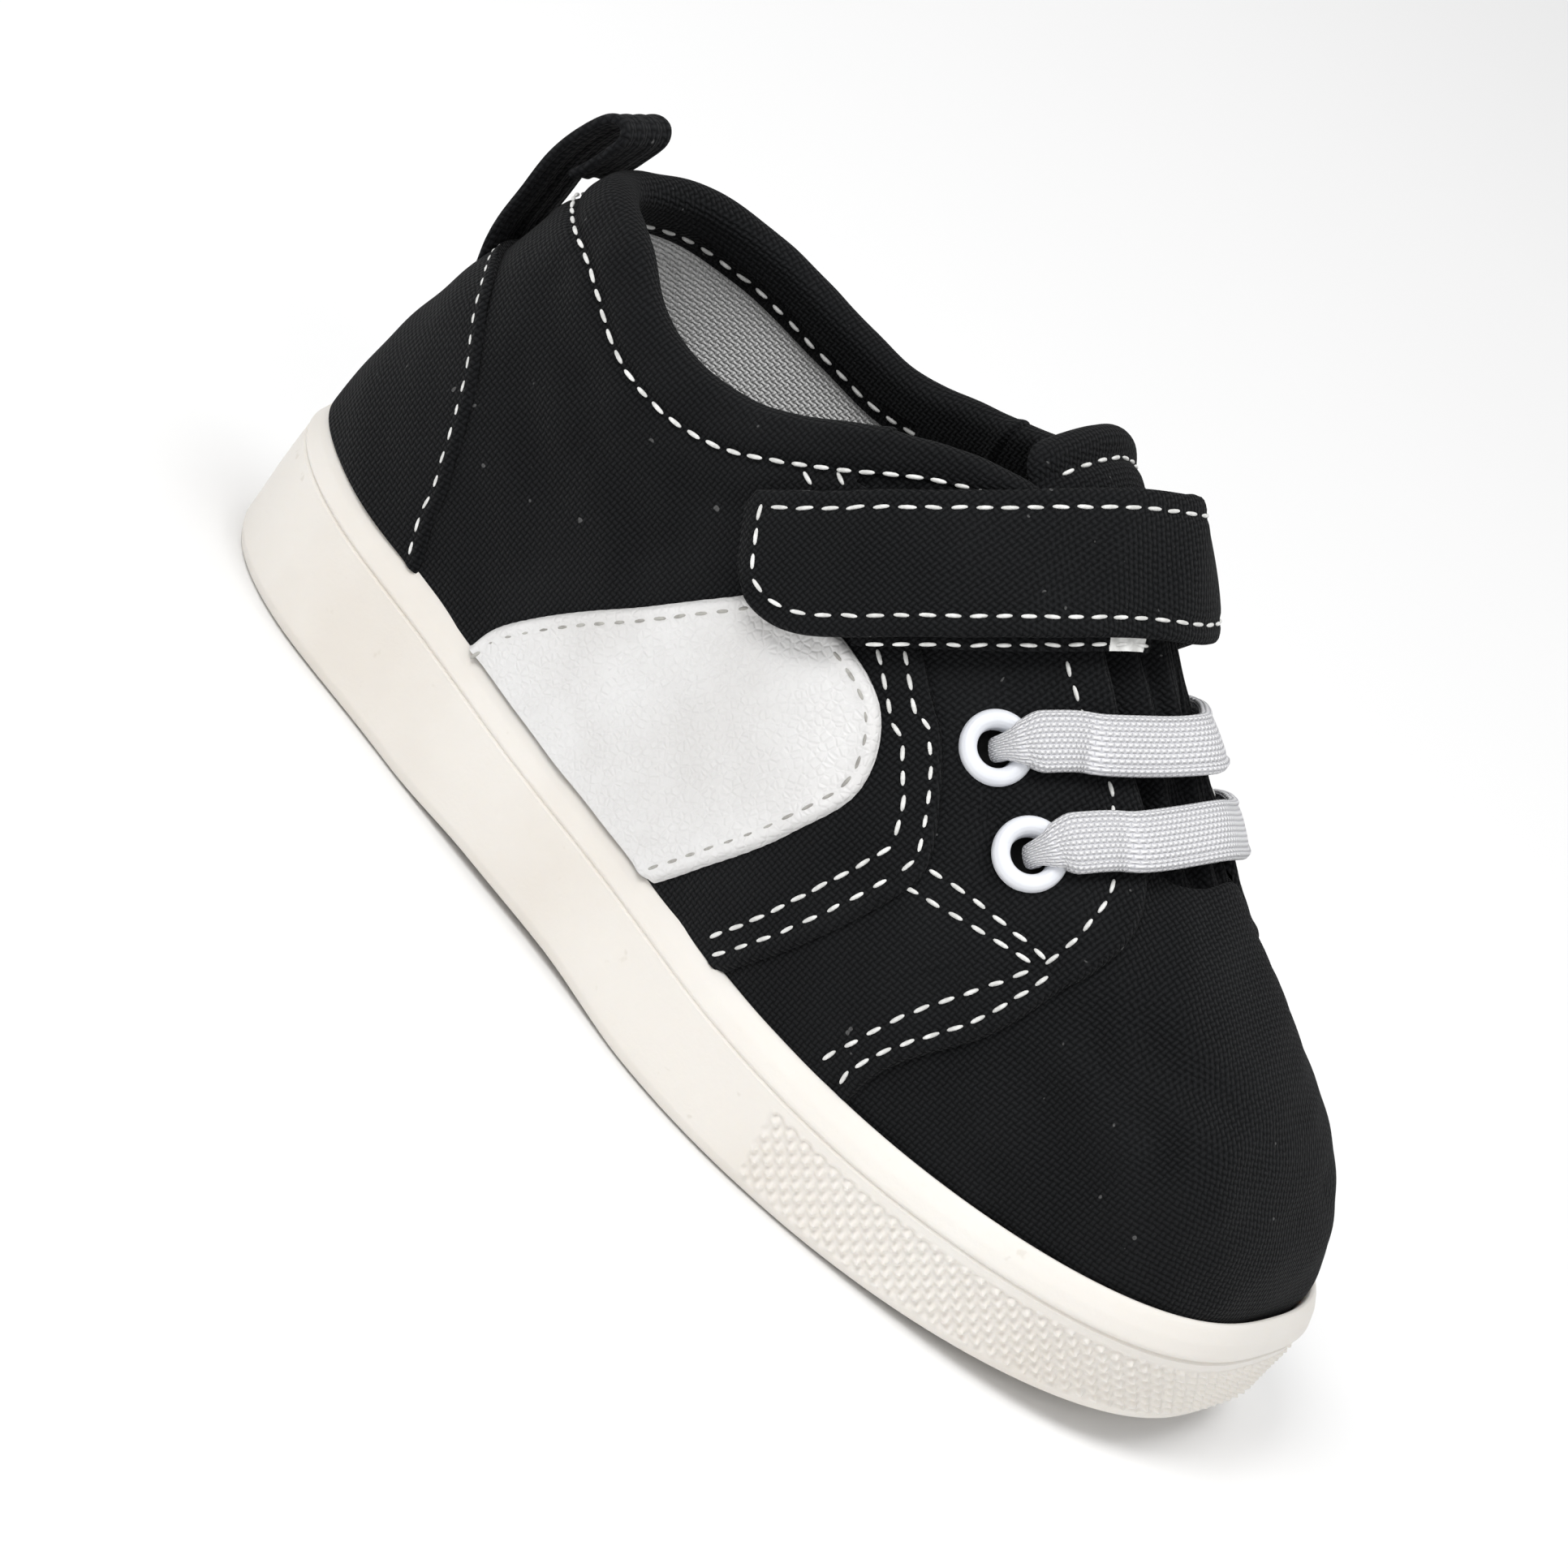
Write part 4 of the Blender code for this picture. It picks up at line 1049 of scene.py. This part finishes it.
def tongue_place(u, v):
    """u round the flat section, v from the toe end to the top edge."""
    k = v * ridge_len[-1]
    c, t = read_at(k, ridge_len, ridge), read_at(k, ridge_len, ridge_tan)
    c, drop_rate, half = c[:, :3], c[:, 3], c[:, 4]
    left_over = ridge_len[-1] - k
    half = half - 3.0 + np.sqrt(np.maximum(9.0 - (3.0 - np.clip(left_over, 0, 3.0)) ** 2, 0))
    x = np.interp(u, [0, 0.5, 1], [1, -1, 1])
    top_side = np.where(u < 0.5, 1.0, -1.0)
    thick = 1.1 * np.sqrt(np.maximum(1 - np.abs(x) ** 7, 0))
    thick = thick * np.sqrt(1 - (1 - np.clip(left_over / 1.1, 0, 1)) ** 2)
    d = x * half
    drop = drop_rate * d * d / (1 + 0.0015 * d * d)
    n = np.cross(t, np.array([0.0, 1.0, 0.0]))
    n = np.where((n[:, 2] < 0)[:, None], -n, n)
    throat = smooth(6, 14, k) * (1 - smooth(ridge_len[-1] - 26, ridge_len[-1] - 16, k))
    pleat = throat * (0.75 * np.cos(d * 1.15 + 0.5 * np.sin(k * 0.16)) + 0.25 * np.cos(d * 2.1 + 0.25 * k))
    rolled = 0.85 * np.exp(-((left_over - 2.0) / 1.6) ** 2) - 0.5 * np.exp(-((left_over - 4.4) / 0.8) ** 2)
    lumpy = 0.35 * np.sin(d * 0.32 + 1.0) * np.sin(k * 0.21)
    soft = (pleat * (top_side > 0) + rolled + lumpy * 0.7) * np.sqrt(np.maximum(1 - np.abs(x) ** 6, 0))
    p = c + np.stack([-0.15 * drop, d, -drop], 1) + n * (top_side * thick + soft)[:, None]
    p[:, 1] -= MID_Y
    return p


tongue = cover("tongue_canvas", 200, 200, tongue_place, canvas_shaded, "tongue_canvas", ["tongue"])


# %% Eyelets
RING_PROFILE = np.array([  # radius, height
    (4.35, -0.25), (4.35, 0.25), (4.2, 0.62), (3.85, 0.92), (3.4, 1.05), (2.95, 0.98),
    (2.55, 0.68), (2.32, 0.3), (2.25, -0.4), (2.2, -1.5),
])


def ring_place(at, n, up):
    side = np.cross(up, n)
    k = np.linspace(0, 1, len(RING_PROFILE))

    def where(u, v):
        rr, hh = read_at(v, k, RING_PROFILE).T
        ang = 2 * math.pi * u
        return at + side * (rr * np.cos(ang))[:, None] + up * (rr * np.sin(ang))[:, None] + n * hh[:, None]
    return where


eye_frames = {}
for node, (st, up) in EYELETS.items():
    n, up_dir = facing(st, up)
    at = on_last(st, up) + n * SIDE
    eye_frames[node] = (at, n, up_dir)
    cover(node + "_ring", 56, 27, ring_place(at, n, up_dir), plastic, "eyelet_plastic", [node], 70.0,
          turn=face_away)
    # a near-black disc inside each ring stands for the hole; its black is painted shade
    deselect()
    bpy.ops.mesh.primitive_circle_add(
        vertices=32, radius=2.4 * MM, fill_type="TRIFAN", location=(at - n * 1.25) * MM)
    disc = bpy.context.object
    disc.name = node + "_hole_shade"
    disc.rotation_euler = Vector(n).to_track_quat("Z", "Y").to_euler()
    bpy.ops.object.transform_apply(location=True, rotation=True, scale=True)
    finish_piece(disc, eyelet_shade_mat, "eyelet_plastic", [node], 30.0)

# %% Elastic laces through the eyelets
LACES = {  # its two eyelets, the places it passes on the lateral side, its crown
    "lace_lower": (("eyelet_lateral_1", "eyelet_medial_1"),
                   [(0.712, 0.785), (0.733, 0.87), (0.755, 0.955)], (35.6, 5.0, 57.6)),
    "lace_upper": (("eyelet_lateral_2", "eyelet_medial_2"),
                   [(0.641, 0.805), (0.659, 0.88), (0.677, 0.955)], (28.2, 5.0, 63.6)),
}
CROWN_OUT, SMOOTHINGS = [0.45, 0.0, 0.89], 30


def lace_half(eyelet, places):
    """From inside an eyelet's hole up the facing: points and outward directions."""
    at, n, _ = eye_frames[eyelet]
    spot, first = EYELETS[eyelet], places[0]
    toward = unit(on_last(*first) - on_last(*spot))
    half_way = [a0 + (a1 - a0) * 0.5 for a0, a1 in zip(spot, first)]
    points = [at - n * 1.7 + toward * 0.3, at + n * 0.3 + toward * 0.75, at + n * 1.6 + toward * 2.3,
              on_last(*half_way) + facing(*half_way)[0] * 2.3]
    outward = [-toward * 0.9 + n * 0.2, -toward * 0.6 + n * 0.7, n - 0.25 * toward, n]
    for place, lift in zip(places, (2.1, 2.1, 2.3)):
        outward.append(facing(*place)[0])
        points.append(on_last(*place) + outward[-1] * lift)
    return points, outward


def ribs(k, x, whole):
    cord = 0.22 * (np.cos((np.abs(x) - 0.84) * 16.0) > 0) * (np.abs(x) > 0.72)
    cord = cord - 0.14 * np.exp(-((np.abs(x) - 0.66) / 0.06) ** 2)
    return cord * smooth(2, 6, np.minimum(k, whole - k)) + 0.1 * np.sin(k * 0.5 + x)


for node, ((lat, med), places, crown) in LACES.items():
    line, out = lace_half(lat, places)
    med_line, med_out = lace_half(med, other_side(places))
    line = curve_through([*line, np.array(crown) - (0, MID_Y, 0), *med_line[::-1]], 14)
    out = curve_through([*out, CROWN_OUT, *med_out[::-1]], 14)
    for _ in range(SMOOTHINGS):
        for q in (line, out):
            q[1:-1] = 0.25 * q[:-2] + 0.5 * q[1:-1] + 0.25 * q[2:]
    run_l = run_of(line)
    ends = np.minimum(run_l, run_l[-1] - run_l)
    half = 1.45 + 2.05 * smooth(1.5, 7.0, ends)
    thick = 0.95 - 0.3 * smooth(1.5, 6.0, ends)
    strip(node + "_elastic", (elastic, "lace_elastic", [node]), line, np.cross(np.gradient(line, axis=0), out),
          half, half, thick, 260, 52, 0.3, 0.25, ribs)
    print(f"{node}: {run_l[-1]:.0f} mm from hole to hole")

# %% Pull loop
LOOP = [  # x, z
    (-72.9, 42.4), (-74, 45.8), (-74.4, 50.5), (-74.5, 56), (-73.9, 61.5),
    (-72, 65.8), (-70.1, 67.1), (-68.9, 65.6), (-69.8, 62.4), (-71.3, 58.5),
]
loop_xz = curve_through(LOOP, 16)
loop_line = np.stack([loop_xz[:, 0], 0 * loop_xz[:, 0] - MID_Y, loop_xz[:, 1]], 1)
loop_wide = np.tile([0.0, 1.0, 0.0], (len(loop_line), 1))


def web_ribs(k, x, whole):
    return 0.12 * np.cos(x * 5 * 2.2) * (np.abs(x) < 0.9) + 0.08 * np.sin(k * 0.7)


strip("pull_loop_webbing", (webbing, "webbing", ["pull_loop"]), loop_line, loop_wide,
      5.6, 5.6, 0.65, 130, 48, 0.28, 0.15, web_ribs)

# %% [markdown]
# ## Sewing
# One stitch is a small sunken sausage of thread. It is copied along each row
# at an even pitch, lying on the panel it holds, and each row becomes one mesh.

# %% One stitch
deselect()
bpy.ops.mesh.primitive_uv_sphere_add(segments=8, ring_count=6, radius=1.0)
pattern = bpy.context.object
stitch_v = np.array([v.co[:] for v in pattern.data.vertices])
stitch_v = stitch_v[:, [2, 0, 1]]
stitch_v = np.sign(stitch_v) * np.abs(stitch_v) ** np.array([0.75, 1.0, 1.0])
stitch_f = [tuple(p.vertices) for p in pattern.data.polygons]
bpy.data.objects.remove(pattern)
rng = np.random.default_rng(11)


def sew(name, rows, mat, pitch=2.65, long=1.85, thick=0.48):
    """rows: list of (points, normals) in mm; one mesh of all their stitches."""
    verts, faces = [], []
    for p, n in rows:
        run = run_of(p)
        count = max(1, int(run[-1] / pitch))
        for i in range(count):
            k = (i + 0.5) * run[-1] / count
            at = read_at(k, run, p)
            t = unit(read_at(min(k + 0.6, run[-1]), run, p) - read_at(max(k - 0.6, 0), run, p))
            s = unit(np.cross(read_at(k, run, n), t))
            nn = np.cross(t, s)
            t = t + s * rng.normal(0, 0.05)
            size = np.array([long / 2 * (1 + rng.normal(0, 0.05)), thick / 2 * 1.1, thick / 2])
            q = stitch_v * size
            arched = 0.1 - 0.1 * (q[:, :1] / size[0]) ** 2
            q = at + q[:, :1] * t + q[:, 1:2] * s + (q[:, 2:] + arched) * nn
            faces += [tuple(v + len(verts) * len(stitch_v) for v in f) for f in stitch_f]
            verts.append(q)
    mesh = bpy.data.meshes.new(name)
    mesh.from_pydata([tuple(v) for v in (np.concatenate(verts) * MM)], [], faces)
    obj = bpy.data.objects.new(name, mesh)
    bpy.context.scene.collection.objects.link(obj)
    face_out(obj)
    finish_piece(obj, mat, None, (), 80.0)
    print(f"{name}: {len(verts)} stitches")


def on_skin(places, lift, sideways=0.0, low=-1.0, high=2.0):
    """A row along places, moved sideways and kept between two heights."""
    c = curve_through(places, 20)
    st, up = c[(c[:, 1] >= low) & (c[:, 1] <= high)].T
    p, (n, _) = skin(st, up, lift), facing(st, up)
    return p + np.cross(n, unit(np.gradient(p, axis=0))) * sideways, n


def across_row(at, beyond, faces_out):
    """Normals of a row at those points, from points a little beyond; flipped where not facing out."""
    n = unit(np.cross(np.gradient(at, axis=0), beyond - at))
    return np.where(faces_out(n)[:, None], n, -n)


# %% Rows on the upper
for side, flip, turned in (("lateral", list, 1.6), ("medial", other_side, -1.6)):
    rows = [on_skin(flip(SEWING[k]), QUARTER + 0.05) for k in ("front_1", "front_2", "rear_1", "rear_2")]
    on_side = ("slant_1", "slant_2", "vamp_1", "vamp_2", "facing")
    rows += [on_skin(flip(SEWING[k]), SIDE + 0.05) for k in on_side]
    sew(f"sewing_{side}", rows, thread_mat)
    rows = [on_skin(flip(SADDLE_LEFT), SADDLE, -turned, -0.02, 0.6),
            on_skin(flip(SADDLE_RIGHT), SADDLE, turned, -0.02, 0.6)]
    sew(f"sewing_saddle_{side}", rows, thread_grey, 2.5, 1.7, 0.42)
sew("sewing_heel", [on_skin(row, HEEL + 0.02) for row in (HEEL_ROW, other_side(HEEL_ROW))], thread_mat)
collar_rows = [on_skin(row, QUARTER + 0.35) for row in (COLLAR_ROW, other_side(COLLAR_ROW))]
near = np.linspace(0.03, 0.5, 60)
for sign in (1.0, -1.0):
    u_in = 0.5 + sign * near / (2 * COLLAR_REACH)
    p, deeper = (collar_place(u_in, np.full(60, v)) for v in (INNER_ROW, INNER_ROW + 0.025))
    n = across_row(p, deeper, lambda n: (n * (np.array([0.0, -MID_Y, 50.0]) - p)).sum(1) >= 0)
    collar_rows.append((p + n * 0.15, n))
sew("sewing_collar", collar_rows, thread_mat)

# %% Rows on the strap and the tongue
# along the rear edge to the closed end, round its front corner and back
THREAD_LIFT, EDGE_INSET = 0.9, 2.2
far, side_x = s_len[-1] - 3.0, HALF - EDGE_INSET
turn_angle = np.linspace(0, math.pi / 2, 14)[1:]
straight = HALF - FRONT_RADIUS
rear_edge = np.linspace(far, EDGE_INSET + 1.0, 60)
end_x = np.linspace(-side_x, straight, 12)
front_edge = np.linspace(FRONT_REACH + 0.6, far, 60)
turn_k = FRONT_REACH - (FRONT_REACH - EDGE_INSET) * np.cos(turn_angle)
turn_x = straight + (FRONT_RADIUS - EDGE_INSET) * np.sin(turn_angle)
path_k = np.concatenate([rear_edge, np.full(12, EDGE_INSET), turn_k, front_edge])
path_x = np.concatenate([np.full(60, -side_x), end_x, turn_x, np.full(60, side_x)])


def on_strap(k, x, relief):
    """A row on the strap at distances k along it and x across it."""
    line, wide, out = (read_at(k, s_len, q) for q in (s_line, s_wide, s_out))
    high = THREAD_LIFT + relief - 0.35 * (x / HALF) ** 2
    return line + wide * x[:, None] + out * high[:, None], out


rows = [on_strap(path_k, path_x, strap_relief(path_k, path_x / HALF, s_len[-1]) - 0.02)]
for from_end in (2.0, 4.6):  # the medial end is sewn down across
    rows.append(on_strap(np.full(20, s_len[-1] - from_end), np.linspace(-side_x, side_x, 20), 0.0))
rows.append((pad_line[2:] + pad_wide[2:] * (HALF + 0.7) - pad_out[2:] * 1.25, pad_out[2:]))
sew("sewing_strap", rows, thread_mat, 2.85, 2.0, 0.44)

k_row = ridge_len[-1] - 4.4
u = np.linspace(0.06, 0.44, 40)
p, beyond = (tongue_place(u, np.full(40, k / ridge_len[-1])) for k in (k_row, k_row + 0.5))
n = across_row(p, beyond, lambda n: n[:, 2] >= 0)
sew("sewing_tongue", [(p + n * 0.05, n)], thread_mat)

# %% [markdown]
# ## Last look
# The number of pieces and their triangles is printed.

# %% Sizes and finish
total = sum(sum(len(p.vertices) - 2 for p in o.data.polygons) for o in PIECES)
print(len(PIECES), "pieces,", total, "triangles")
